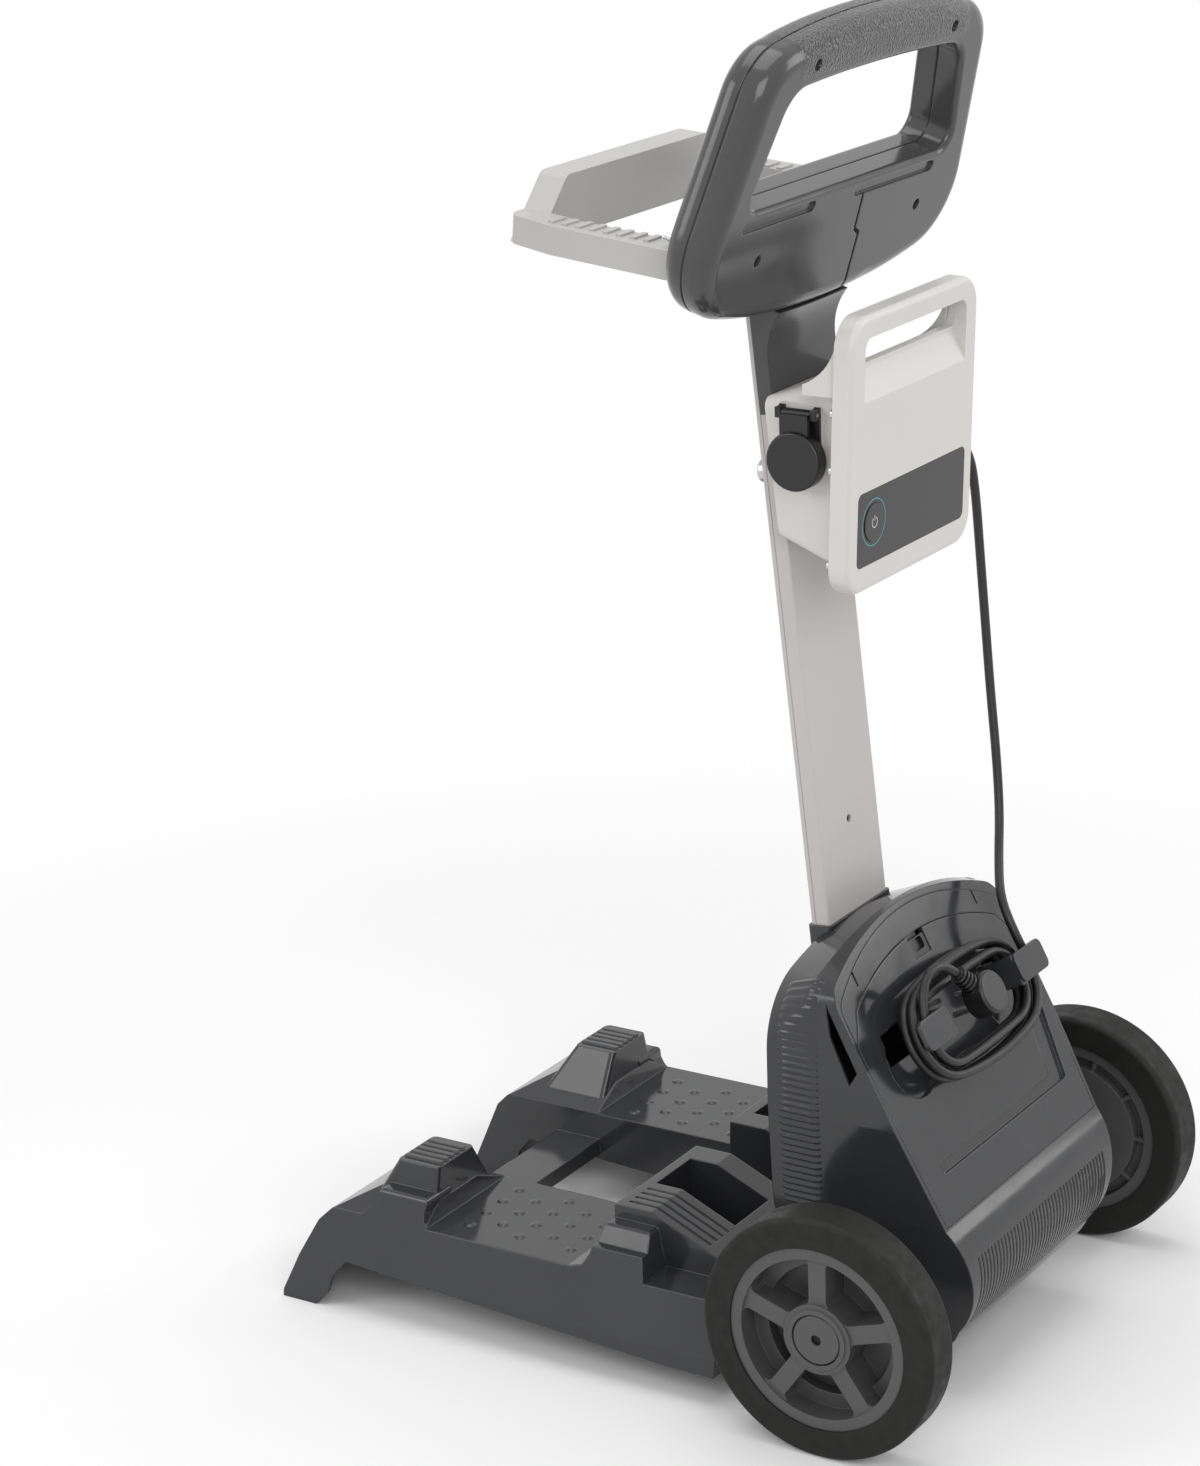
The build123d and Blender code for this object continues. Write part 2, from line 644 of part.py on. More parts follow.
def lid_outline(gap):
    """Outline of the lid below the arched cover."""
    half, foot = COVER_HALF_W, COVER_FOOT_HALF_W
    corner_x, corner_s = LID_CORNER
    with BuildSketch(panel_plane()) as outline:
        with BuildLine():
            Polyline((-corner_x, corner_s), (-half, LID_SIDE_S), (-half, COVER_KNEE_S), (-foot, COVER_FOOT_S),
                     (foot, COVER_FOOT_S), (half, COVER_KNEE_S), (half, LID_SIDE_S), (corner_x, corner_s))
            ThreePointArc((corner_x, corner_s), (0, LID_TOP_S), (-corner_x, corner_s))
        make_face()
        if gap:
            offset(amount=gap, kind=Kind.INTERSECTION)
    return outline.sketch


def barrel_point(turn, out):
    """(y from the axle, z) of a point a distance out from the barrel's surface."""
    reach = BARREL_R + out
    return BARREL_AXIS[0] + reach * cos(radians(turn)), BARREL_AXIS[1] + reach * sin(radians(turn))


with BuildPart() as housing_shell:
    add(housing_form(0))
    add(housing_form(HOUSING_WALL), mode=Mode.SUBTRACT)
    # boss for the axle bushes, through both sides
    for sign in (-1, 1):
        with BuildSketch(axle_plane(sign * AXLE_BOSS_X[0])):
            Circle(AXLE_BOSS_R)
        extrude(amount=sign * (AXLE_BOSS_X[1] - AXLE_BOSS_X[0]))
    # sleeve that holds the post
    with BuildSketch(post_plane(SLEEVE_U[0])):
        with Locations((0, -POST_D / 2)):
            Rectangle(POST_W + 2 * SLEEVE_WALL, POST_D + 2 * SLEEVE_WALL)
    extrude(amount=SLEEVE_U[1] - SLEEVE_U[0])
    with BuildSketch(post_plane(POST_FOOT_U - FIT)):
        with Locations((0, -POST_D / 2)):
            Rectangle(POST_W + 2 * FIT, POST_D + 2 * FIT)
    extrude(amount=COLLAR_U[1], mode=Mode.SUBTRACT)
    with BuildSketch(post_plane(COLLAR_U[0])):
        with Locations((0, -POST_D / 2)):
            Rectangle(POST_W + 2 * (COLLAR_T + 2 * FIT), POST_D + 2 * (COLLAR_T + 2 * FIT))
    extrude(amount=COLLAR_U[1] - COLLAR_U[0], mode=Mode.SUBTRACT)
    for bolt_u in POST_BOLT_U:
        with BuildSketch(post_face(-POST_D - 3 * SLEEVE_WALL)):
            with Locations((0, bolt_u)):
                Circle(POST_BOLT_D / 2)
        extrude(amount=POST_D + 6 * SLEEVE_WALL, mode=Mode.SUBTRACT)
    # screw posts on the floor
    with BuildSketch(level_plane(HOUSING_FLOOR_Z)):
        with Locations(*TONGUE_SCREWS):
            Circle(TONGUE_SCREW_D)
    extrude(amount=TONGUE_SCREW_L)
    with BuildSketch(level_plane(HOUSING_FLOOR_Z)):
        with Locations(*TONGUE_SCREWS):
            Circle(TONGUE_SCREW_D / 2)
    extrude(amount=TONGUE_SCREW_L - TONGUE_T, mode=Mode.SUBTRACT)
    # bores for the bushes
    with BuildSketch(axle_plane(0)):
        Circle(BUSH_D / 2)
    extrude(amount=HOUSING_HALF_W, both=True, mode=Mode.SUBTRACT)
    # opening for the cover and the lid
    add(cover_outline(FIT))
    extrude(amount=-2 * LID_T, dir=PANEL_OUT, mode=Mode.SUBTRACT)
    # long slots beside the cover
    for sign in (-1, 1):
        with BuildSketch(side_plane(sign * (HOUSING_HALF_W + SIDE_SLOT_DEPTH / 2))):
            with BuildLine():
                Polyline(*SIDE_SLOT, close=True)
            make_face()
        extrude(amount=-sign * SIDE_SLOT_DEPTH, mode=Mode.SUBTRACT)
    # grooves round the lower barrel
    for rib in range(-RIBS, RIBS + 1):
        with BuildSketch(side_plane(rib * RIB_PITCH)):
            with BuildLine():
                low, middle, high = [barrel_point(turn, -RIB_DEPTH) for turn in RIB_TURNS]
                ThreePointArc(low, middle, high)
                Polyline(high, *[barrel_point(turn, RIB_REACH) for turn in reversed(RIB_TURNS)], low)
            make_face()
        extrude(amount=RIB_PITCH * RIB_SHARE, both=True, mode=Mode.SUBTRACT)
export(housing_shell.part, "housing_shell")

with BuildPart() as rear_cover:
    add(cover_outline(0))
    extrude(amount=-COVER_T, dir=PANEL_OUT)
    add(lid_outline(LID_GAP))
    extrude(amount=-2 * COVER_T, dir=PANEL_OUT, both=True, mode=Mode.SUBTRACT)
    with BuildSketch(panel_plane()):
        with Locations((-COVER_NOTCH[0], COVER_NOTCH[1]), COVER_NOTCH):
            Rectangle(*COVER_NOTCH_SIZE)
    extrude(amount=-2 * COVER_T, mode=Mode.SUBTRACT)
export(rear_cover.part, "rear_cover")

with BuildPart() as rear_panel:
    add(lid_outline(0))
    extrude(amount=-LID_T, dir=PANEL_OUT)
    with BuildSketch(panel_plane()) as groove:
        # shallow cord groove: up the right side and along the foot
        with BuildLine():
            Polyline(*CORD_GROOVE, close=True)
        make_face()
        fillet(groove.vertices(), CORD_GROOVE_R)
    extrude(amount=-GROOVE_DEPTH, mode=Mode.SUBTRACT)
    with BuildSketch(panel_plane()):
        with Locations((-HOOK_DISH[0], HOOK_DISH[1]), HOOK_DISH):
            Circle(HOOK_DISH_R)
    extrude(amount=-GROOVE_DEPTH, mode=Mode.SUBTRACT)
    for sign in (-1, 1):
        plate_mid = sign * (HOOK_IN_X + HOOK_PLATE_X) / 2
        stem_mid = sign * (HOOK_IN_X + HOOK_STEM_T / 2)
        with BuildSketch(panel_plane(-LID_T)):
            with Locations((stem_mid, HOOK_S - 1)):
                RectangleRounded(HOOK_STEM_T, HOOK_STEM_H, 3)
        extrude(amount=LID_T + HOOK_REACH + 1)
        with BuildSketch(panel_plane(HOOK_REACH)):
            with Locations((plate_mid, HOOK_S)):
                RectangleRounded(HOOK_PLATE_X - HOOK_IN_X, HOOK_H, 6)
        extrude(amount=HOOK_PLATE_T)
        with BuildSketch(panel_plane(-2 * LID_T)):
            with Locations((sign * (HOOK_IN_X + HOOK_STEM_T + HOOK_PLATE_X) / 2, HOOK_S)):
                Rectangle(HOOK_PLATE_X - HOOK_IN_X - HOOK_STEM_T, HOOK_H + 1)
        extrude(amount=3 * LID_T, mode=Mode.SUBTRACT)
    with BuildSketch(panel_plane()):
        with Locations((0, LID_TOP_S)):
            Rectangle(LATCH_W + 2 * FIT, 2 * LATCH_H)
    extrude(amount=-2 * LID_T, mode=Mode.SUBTRACT)
export(rear_panel.part, "rear_panel")

with BuildPart() as panel_latch:
    with BuildSketch(panel_plane(-1)):
        with Locations((0, LID_TOP_S - LATCH_H / 2 - 2)):
            RectangleRounded(LATCH_W, LATCH_H - 4, 2)
    extrude(amount=-LID_T + 1)
    with BuildSketch(panel_plane(-1)):
        with Locations((0, LID_TOP_S - LATCH_H / 2)):
            RectangleRounded(LATCH_W - 10, LATCH_H - 10, 3)
    extrude(amount=-GROOVE_DEPTH, mode=Mode.SUBTRACT)
    with BuildSketch(panel_plane(-LID_T)):
        with Locations((0, LID_TOP_S + 1)):
            Rectangle(LATCH_W - 8, LATCH_H)
    extrude(amount=-2)
export(panel_latch.part, "panel_latch")

# Post and its fixings
with BuildPart() as post:
    with BuildSketch(post_plane(POST_FOOT_U)):
        with Locations((0, -POST_D / 2)):
            RectangleRounded(POST_W, POST_D, 2)
            RectangleRounded(POST_W - 2 * POST_WALL, POST_D - 2 * POST_WALL, 1, mode=Mode.SUBTRACT)
        with Locations((-POST_W / 2, -POST_D * 0.72), (POST_W / 2, -POST_D * 0.72)):
            Rectangle(1.2, 1.0, mode=Mode.SUBTRACT)
    extrude(amount=POST_TOP_U - POST_FOOT_U)
    with BuildSketch(post_face(-2 * POST_D)):
        with Locations(*[(0, bolt_u) for bolt_u in POST_BOLT_U]):
            Circle(POST_BOLT_D / 2)
        with Locations((-RAIL_BOLT_X, RAIL_BOLT_U), (RAIL_BOLT_X, RAIL_BOLT_U)):
            Circle(RAIL_BOLT_D / 2)
    extrude(amount=3 * POST_D, mode=Mode.SUBTRACT)
    with BuildSketch(post_face(-POST_D / 2)):
        with Locations((0, POST_HOLE_U)):
            Circle(POST_HOLE_D / 2)
    extrude(amount=POST_D, mode=Mode.SUBTRACT)
export(post.part, "post")

with BuildPart() as post_collar:
    with BuildSketch(post_plane(COLLAR_U[0] + FIT)):
        with Locations((0, -POST_D / 2)):
            RectangleRounded(POST_W + 2 * (COLLAR_T + FIT), POST_D + 2 * (COLLAR_T + FIT), 3)
            Rectangle(POST_W + 2 * FIT, POST_D + 2 * FIT, mode=Mode.SUBTRACT)
    extrude(amount=COLLAR_U[1] - COLLAR_U[0])
export(post_collar.part, "post_collar")

SLEEVE_FRONT = -POST_D - SLEEVE_WALL
with BuildPart() as post_bolts:
    for bolt_u in POST_BOLT_U:
        with BuildSketch(post_face(SLEEVE_FRONT)):
            with Locations((0, bolt_u)):
                Circle(POST_BOLT_D / 2)
        extrude(amount=POST_D + 2 * SLEEVE_WALL + POST_BOLT_D)
        with BuildSketch(post_face(SLEEVE_FRONT)):
            with Locations((0, bolt_u)):
                RegularPolygon(POST_BOLT_D * 0.82, 6)
        extrude(amount=-POST_BOLT_D * 0.65)
export(post_bolts.part, "post_bolts")

with BuildPart() as post_nuts:
    for bolt_u in POST_BOLT_U:
        with BuildSketch(post_face(SLEEVE_WALL)):
            with Locations((0, bolt_u)):
                RegularPolygon(POST_BOLT_D * 0.82, 6)
                Circle(POST_BOLT_D / 2, mode=Mode.SUBTRACT)
        extrude(amount=POST_BOLT_D * 0.7)
export(post_nuts.part, "post_nuts")

# Axle, bushes, spacers and wheels
CAP_X = WHEEL_OUT_X - HUB_RECESS + FIT
AXLE_END_X = CAP_X + AXLE_CAP_T - 2.5
SEAT_X = AXLE_BOSS_X[1]
CHANNEL_FLOOR_X = WHEEL_IN_X + 4 + CHANNEL_DEPTH
SPOKE_FACE_X = WHEEL_IN_X + TYRE_W - 4


def tube(x0, x1, outer_r, inner_r):
    """Ring about the axle between two places along X."""
    with BuildPart() as ring:
        with BuildSketch(axle_plane(x0)):
            Circle(outer_r)
            if inner_r:
                Circle(inner_r, mode=Mode.SUBTRACT)
        extrude(amount=x1 - x0)
    return ring.part


def wheel_windows():
    """Openings between the spokes, with rounded corners."""
    with BuildSketch() as windows:
        Circle(RIM_INNER_R)
        Circle(HUB_R, mode=Mode.SUBTRACT)
        with PolarLocations((HUB_R + RIM_INNER_R) / 2, SPOKES, start_angle=90):
            Rectangle(RIM_INNER_R, SPOKE_W, mode=Mode.SUBTRACT)
        fillet(windows.vertices(), WINDOW_R)
    return windows.sketch


with BuildPart() as axle:
    add(tube(-AXLE_END_X, AXLE_END_X, AXLE_D / 2, 0))
export(axle.part, "axle")

for side, sign in (("left", 1), ("right", -1)):
    with BuildPart() as axle_bush:
        add(tube(sign * AXLE_BOSS_X[0], sign * SEAT_X, BUSH_D / 2, AXLE_D / 2))
        add(tube(sign * SEAT_X, sign * (SEAT_X + BUSH_FLANGE_T), BUSH_FLANGE_R, AXLE_D / 2))
    export(axle_bush.part, f"axle_bush_{side}")

    with BuildPart() as axle_spacer:
        add(tube(sign * (SEAT_X + BUSH_FLANGE_T), sign * (WHEEL_IN_X - FIT), BUSH_D / 2, AXLE_D / 2))
    export(axle_spacer.part, f"axle_spacer_{side}")

    with BuildPart() as axle_cap:
        add(tube(sign * CAP_X, sign * (CAP_X + AXLE_CAP_T), AXLE_CAP_R, 0))
        add(tube(sign * CAP_X, sign * AXLE_END_X, AXLE_D / 2, 0), mode=Mode.SUBTRACT)
        add(tube(sign * AXLE_END_X, sign * WHEEL_OUT_X, AXLE_CAP_HOLE_R, 0), mode=Mode.SUBTRACT)
        fillet(axle_cap.edges().filter_by(GeomType.CIRCLE).group_by(SortBy.RADIUS)[-1]
               .sort_by(Axis.X)[-1 if sign > 0 else 0], 1.2)
    export(axle_cap.part, f"axle_cap_{side}")

    with BuildPart() as wheel_bush:
        add(tube(sign * WHEEL_IN_X, sign * (WHEEL_OUT_X - HUB_RECESS), BUSH_D / 2, AXLE_D / 2 + RUNNING))
    export(wheel_bush.part, f"{side}_wheel_bush")

    with BuildPart() as wheel_rim:
        add(tube(sign * (WHEEL_IN_X + 2), sign * (WHEEL_OUT_X - 1.5), RIM_R, RIM_INNER_R))
        add(tube(sign * WHEEL_IN_X, sign * (WHEEL_OUT_X - 2), HUB_R, 0))
        add(tube(sign * (WHEEL_IN_X + 1), sign * (WHEEL_IN_X + 4), CHANNEL_R, 0))
        add(tube(sign * (WHEEL_IN_X + 1), sign * CHANNEL_FLOOR_X, CHANNEL_R, CHANNEL_R - WALL))
        add(tube(sign * (CHANNEL_FLOOR_X - WALL), sign * CHANNEL_FLOOR_X, RIM_INNER_R + 1, CHANNEL_R - 1))
        with BuildSketch(axle_plane(sign * (WHEEL_IN_X + 3))):
            with PolarLocations((CHANNEL_R + RIM_INNER_R) / 2, 2 * SPOKES):
                Rectangle(RIM_INNER_R - CHANNEL_R + 2, WALL)
        extrude(amount=sign * CHANNEL_DEPTH)
        with BuildSketch(axle_plane(sign * CHANNEL_FLOOR_X)):
            Circle(RIM_INNER_R + 1)
            add(wheel_windows(), mode=Mode.SUBTRACT)
        extrude(amount=sign * (SPOKE_FACE_X - CHANNEL_FLOOR_X))
        with BuildSketch(axle_plane(sign * (WHEEL_IN_X + 3))):
            Circle(CHANNEL_R - 1)
            add(wheel_windows(), mode=Mode.SUBTRACT)
        extrude(amount=sign * (CHANNEL_FLOOR_X - WHEEL_IN_X - 3))
        add(tube(sign * (WHEEL_OUT_X - 2), sign * (WHEEL_OUT_X - 0.5), AXLE_CAP_R + 5, 0))
        add(tube(sign * (WHEEL_OUT_X - HUB_RECESS), sign * (WHEEL_OUT_X + 1), AXLE_CAP_R + 1, 0),
            mode=Mode.SUBTRACT)
        add(tube(sign * (WHEEL_IN_X - 1), sign * WHEEL_OUT_X, BUSH_D / 2, 0), mode=Mode.SUBTRACT)
    export(wheel_rim.part, f"{side}_wheel_rim")

    with BuildPart() as tyre:
        add(tube(sign * WHEEL_IN_X, sign * WHEEL_OUT_X, WHEEL_D / 2, RIM_R))
        rims = tyre.edges().filter_by(GeomType.CIRCLE).group_by(SortBy.RADIUS)[-1]
        fillet(rims, 5.0)
    export(tyre.part, f"{side}_wheel_tyre")

# Handle: two half shells in a closed D, the front one with the socket for the post
HALF_DEPTH = HANDLE_DEPTH / 2


def flat_arch(half, foot, crown):
    """Arch from (half, foot) over (0, crown), flatter in the middle than at its ends."""
    rise = crown - foot
    reach = ARCH_FLATTER * (half ** 2 + rise ** 2) / (2 * rise)
    turn = asin(half * ARCH_SHARE / reach)
    join_x, join_t = half * ARCH_SHARE, crown - reach * (1 - cos(turn))
    ThreePointArc((-join_x, join_t), (0, crown), (join_x, join_t))
    for sign in (-1, 1):
        TangentArc((sign * join_x, join_t), (sign * half, foot), tangent=(sign * cos(turn), -sin(turn)))


def corners(outline, x, t):
    """The two corners of a handle outline at (x, t) and (-x, t)."""
    return [corner for corner in outline.vertices() if abs(abs(corner.X) - x) + abs(corner.Y - t) < FIT]


def handle_outer(inset):
    """Outer outline of the D, as a sketch in the handle's plane."""
    low, up = HANDLE_LOW_HALF_W - 1.1 * inset, HANDLE_UP_HALF_W - inset
    low_t, up_t = HANDLE_LOW + HANDLE_BELLY + inset, HANDLE_TOP - HANDLE_CROWN - inset
    with BuildSketch() as outline:
        with BuildLine():
            Line((-low, low_t), (-up, up_t))
            flat_arch(up, up_t, HANDLE_TOP - inset)
            Line((up, up_t), (low, low_t))
            flat_arch(low, low_t, HANDLE_LOW + inset)
        make_face()
        fillet(corners(outline, low, low_t), HANDLE_LOW_R - inset)
        fillet(corners(outline, up, up_t), HANDLE_UP_R - inset)
    return outline.sketch


def handle_opening(outset):
    """Outline of the grip opening, grown by a wall where asked."""
    low, up = HANDLE_LOW_HALF_W - GRIP_W - 9 + outset, HANDLE_UP_HALF_W - GRIP_W + outset
    low_t, up_t = HANDLE_SILL - outset, HANDLE_TOP - GRIP_W - OPENING_CROWN + outset
    with BuildSketch() as outline:
        with BuildLine():
            Polyline((-up, up_t), (-low, low_t), (low, low_t), (up, up_t))
            flat_arch(up, up_t, up_t + OPENING_CROWN)
        make_face()
        fillet(corners(outline, low, low_t), OPENING_LOW_R + outset)
        fillet(corners(outline, up, up_t), OPENING_UP_R + outset)
    return outline.sketch


def handle_half(face_off, into):
    """Half shell from its outside face to the seam, hollow and with rounded edges."""
    with BuildPart() as half:
        with BuildSketch(handle_plane(face_off)):
            add(handle_outer(0))
            add(handle_opening(0), mode=Mode.SUBTRACT)
        extrude(amount=into * HALF_DEPTH)
        away = handle_plane(face_off - into * WHEEL_D).origin
        outside = half.faces().filter_by(GeomType.PLANE).sort_by_distance(away)[0]
        fillet(outside.outer_wire().edges(), HANDLE_EDGE_R)
        outside = half.faces().filter_by(GeomType.PLANE).sort_by_distance(away)[0]
        fillet(outside.inner_wires()[0].edges(), OPENING_EDGE_R)
        with BuildSketch(handle_plane(-HALF_DEPTH)):
            add(handle_outer(HANDLE_HOLLOW))
            add(handle_opening(HANDLE_HOLLOW), mode=Mode.SUBTRACT)
        extrude(amount=-into * (HALF_DEPTH - HANDLE_HOLLOW + 1), mode=Mode.SUBTRACT)
        with BuildSketch(handle_plane(-HALF_DEPTH)):
            with Locations(*HANDLE_SCREWS):
                Circle(HANDLE_SCREW_HEAD_D * 0.8)
        extrude(amount=-into * (HALF_DEPTH - HANDLE_HOLLOW + 1))
    return half.part


HEAD_OFF = -10.0
with BuildPart() as handle_rear_shell:
    add(handle_half(0, -1))
    with BuildSketch(handle_plane(0)):
        with Locations(*HANDLE_SCREWS):
            Circle(HANDLE_SCREW_HEAD_D / 2 + FIT)
    extrude(amount=HEAD_OFF, mode=Mode.SUBTRACT)
    with BuildSketch(handle_plane(0)):
        with Locations(*HANDLE_SCREWS):
            Circle(HANDLE_SCREW_D / 2)
    extrude(amount=-HANDLE_DEPTH, mode=Mode.SUBTRACT)
    with BuildSketch(handle_plane(0)):
        for middle, length in SILL_GROOVES:
            with Locations((middle, SILL_GROOVE_T)):
                SlotOverall(length, SILL_GROOVE_W)
    extrude(amount=-SILL_GROOVE_DEPTH, mode=Mode.SUBTRACT)
    with BuildSketch(handle_plane(0)):
        with BuildLine():
            Polyline(*CENTRE_SEAM)
        trace(line_width=CENTRE_SEAM_W)
    extrude(amount=-2 * SEAM_DEPTH, mode=Mode.SUBTRACT)
export(handle_rear_shell.part, "handle_rear_shell")


def post_side(n, u):
    """(y from the axle, z) of a point n behind the post's rear face and u up the post."""
    return POST_Y - u * sin(LEAN) + n * cos(LEAN), u * cos(LEAN) + n * sin(LEAN)


SOCKET_FOOT_U = 862.0
SOCKET_TOP_U = POST_TOP_U + 6
SOCKET_FRONT = -POST_D - 4
NECK_FOOT_U = NECK_FOOT_Z / cos(LEAN)
NECK_OUTLINE = ((12, SOCKET_TOP_U), (SOCKET_FRONT, SOCKET_TOP_U), (SOCKET_FRONT, SOCKET_FOOT_U),
                (-NECK_LAP, SOCKET_FOOT_U), (-NECK_LAP, NECK_FOOT_U), (NECK_THIN, NECK_FOOT_U))
NECK_SWEEP = [post_side(n, u) for n, u in ((NECK_THIN, NECK_THIN_U), *NECK_FLARE)]
SCREW_END = -(HANDLE_DEPTH - 6)
CRADLE_SCREWS = [(sign * x, 1.0) for sign in (-1, 1) for x in (138.0, 154.0)]
with BuildPart() as handle_front_shell:
    add(handle_half(-HANDLE_DEPTH, 1))
    with BuildSketch(side_plane(0)):
        with BuildLine():
            Polyline(NECK_SWEEP[2], *[post_side(n, u) for n, u in NECK_OUTLINE], NECK_SWEEP[0])
            ThreePointArc(*NECK_SWEEP)
        make_face()
    extrude(amount=NECK_HALF_W, both=True)
    with BuildSketch(post_plane(NECK_FOOT_U - 5)):
        with Locations((0, -POST_D / 2)):
            Rectangle(POST_W + 2 * FIT, POST_D + 2 * FIT)
    extrude(amount=POST_TOP_U + FIT - NECK_FOOT_U + 5, mode=Mode.SUBTRACT)
    with BuildSketch(handle_plane(-HALF_DEPTH)):
        add(handle_outer(-FIT))
    extrude(amount=HANDLE_DEPTH, mode=Mode.SUBTRACT)
    with BuildSketch(handle_plane(-HALF_DEPTH)):
        add(handle_outer(-1))
        add(handle_outer(SEAM_DEPTH), mode=Mode.SUBTRACT)
        add(handle_opening(SEAM_DEPTH))
    extrude(amount=-SEAM_W, mode=Mode.SUBTRACT)
    with BuildSketch(handle_plane(-HALF_DEPTH)):
        with Locations(*HANDLE_SCREWS):
            Circle(HANDLE_SCREW_D / 2)
    extrude(amount=SCREW_END + HALF_DEPTH, mode=Mode.SUBTRACT)
    with BuildSketch(handle_plane(-HALF_DEPTH)):
        with Locations(*CRADLE_SCREWS):
            Circle(HANDLE_SCREW_D / 2)
    extrude(amount=-HANDLE_DEPTH, mode=Mode.SUBTRACT)
export(handle_front_shell.part, "handle_front_shell")

with BuildPart() as handle_screws:
    with BuildSketch(handle_plane(HEAD_OFF)):
        with Locations(*HANDLE_SCREWS):
            Circle(HANDLE_SCREW_HEAD_D / 2)
    extrude(amount=3.5)
    with BuildSketch(handle_plane(HEAD_OFF)):
        with Locations(*HANDLE_SCREWS):
            Circle(HANDLE_SCREW_D / 2)
    extrude(amount=SCREW_END - HEAD_OFF)
export(handle_screws.part, "handle_screws")

# Cable cradle in front of the handle
CRADLE_BACK = Vector(0, cos(radians(CRADLE_RISE)), -sin(radians(CRADLE_RISE)))
WALL_PLANE = Plane(origin=cradle_plane().origin - CRADLE_BACK * (CRADLE_FRONT - CRADLE_WALL_T),
                   x_dir=(1, 0, 0), z_dir=-CRADLE_BACK)
ARM_SPREAD = 6.0
CRADLE_RIDGES = 8
CRADLE_HEAD_OFF = -HANDLE_DEPTH + HANDLE_HOLLOW - 1
CRADLE_SCREW_REACH = 24.0
with BuildPart() as cable_cradle:
    front, outer, inner = CRADLE_FRONT, CRADLE_ARM_X[1], CRADLE_ARM_X[0]
    with BuildSketch(cradle_plane()) as loop:
        with BuildLine():
            Polyline((-CRADLE_FRONT_HALF_W, -front), (CRADLE_FRONT_HALF_W, -front), (outer - 4, -front + 46),
                     (outer + ARM_SPREAD, front), (-outer - ARM_SPREAD, front), (-outer + 4, -front + 46),
                     close=True)
        make_face()
        fillet(loop.vertices().sort_by(Axis.Y)[:2], 14)
        with BuildLine():
            Polyline((-inner + 6, -front + CRADLE_WALL_T), (inner - 6, -front + CRADLE_WALL_T),
                     (inner, -front + 52), (inner + ARM_SPREAD, front + 1), (-inner - ARM_SPREAD, front + 1),
                     (-inner, -front + 52), close=True)
        make_face(mode=Mode.SUBTRACT)
    extrude(amount=-CRADLE_T)
    with BuildSketch(WALL_PLANE) as wall:
        with BuildLine():
            Polyline((-CRADLE_FRONT_HALF_W + 4, -CRADLE_T), (CRADLE_FRONT_HALF_W - 4, -CRADLE_T),
                     (CRADLE_WALL_TOP_HALF_W, CRADLE_WALL_H), (-CRADLE_WALL_TOP_HALF_W, CRADLE_WALL_H),
                     close=True)
        make_face()
        fillet(wall.vertices().sort_by(Axis.Y)[-2:], 10)
    extrude(amount=CRADLE_WALL_T)
    for ridge in range(CRADLE_RIDGES):
        with BuildSketch(cradle_plane()):
            ridge_d = -84 + 12 * ridge
            with Locations((-inner - 12, ridge_d), (inner + 12, ridge_d)):
                RectangleRounded(20, 5, 1)
        extrude(amount=1.6)
    with BuildSketch(handle_plane(-HANDLE_DEPTH)):
        Rectangle(2 * WHEEL_D, 2 * WHEEL_D)
    extrude(amount=2 * WHEEL_D, mode=Mode.SUBTRACT)
    with BuildSketch(handle_plane(-HANDLE_DEPTH)):
        with Locations(*CRADLE_SCREWS):
            Circle(HANDLE_SCREW_D / 2)
    extrude(amount=-CRADLE_SCREW_REACH, mode=Mode.SUBTRACT)
export(cable_cradle.part, "cable_cradle")

with BuildPart() as cradle_screws:
    with BuildSketch(handle_plane(CRADLE_HEAD_OFF)):
        with Locations(*CRADLE_SCREWS):
            Circle(HANDLE_SCREW_HEAD_D / 2)
    extrude(amount=3.5)
    with BuildSketch(handle_plane(CRADLE_HEAD_OFF)):
        with Locations(*CRADLE_SCREWS):
            Circle(HANDLE_SCREW_D / 2)
    extrude(amount=-CRADLE_SCREW_REACH - 4)
export(cradle_screws.part, "cradle_screws")

# Supply rail on the post, and the bolts that carry it
STEM_END = CASE_POST_GAP + 3.6
with BuildPart() as supply_rail:
    with BuildSketch(post_face(0)):
        with Locations((0, span(RAIL_U)[1])):
            RectangleRounded(2 * RAIL_HALF_X, span(RAIL_U)[0], 4)
    extrude(amount=RAIL_T)
    with BuildSketch(post_face(RAIL_T)):
        with Locations((0, span(RAIL_HEAD_U)[1])):
            Rectangle(2 * RAIL_STEM_HALF_X, span(RAIL_HEAD_U)[0])
    extrude(amount=STEM_END - RAIL_T)
    with BuildSketch(post_face(STEM_END)):
        with Locations((0, span(RAIL_HEAD_U)[1])):
            Rectangle(2 * RAIL_HEAD_HALF_X, span(RAIL_HEAD_U)[0])
    extrude(amount=RAIL_HEAD_T)
    with BuildSketch(post_face(-1)):
        with Locations((-RAIL_BOLT_X, RAIL_BOLT_U), (RAIL_BOLT_X, RAIL_BOLT_U)):
            Circle(RAIL_BOLT_D / 2)
    extrude(amount=RAIL_T + 1, mode=Mode.SUBTRACT)
export(supply_rail.part, "supply_rail")

with BuildPart() as rail_bolts:
    with BuildSketch(post_face(RAIL_T)):
        with Locations((-RAIL_BOLT_X, RAIL_BOLT_U), (RAIL_BOLT_X, RAIL_BOLT_U)):
            Circle(RAIL_BOLT_D / 2)
    extrude(amount=-RAIL_T - POST_D)
    with BuildSketch(post_face(-POST_D)):
        with Locations((-RAIL_BOLT_X, RAIL_BOLT_U), (RAIL_BOLT_X, RAIL_BOLT_U)):
            Circle(RAIL_BOLT_HEAD_D / 2)
    extrude(amount=-8)
    fillet(rail_bolts.edges().filter_by(GeomType.CIRCLE).sort_by(Axis.Y)[:2], 2.5)
export(rail_bolts.part, "rail_bolts")

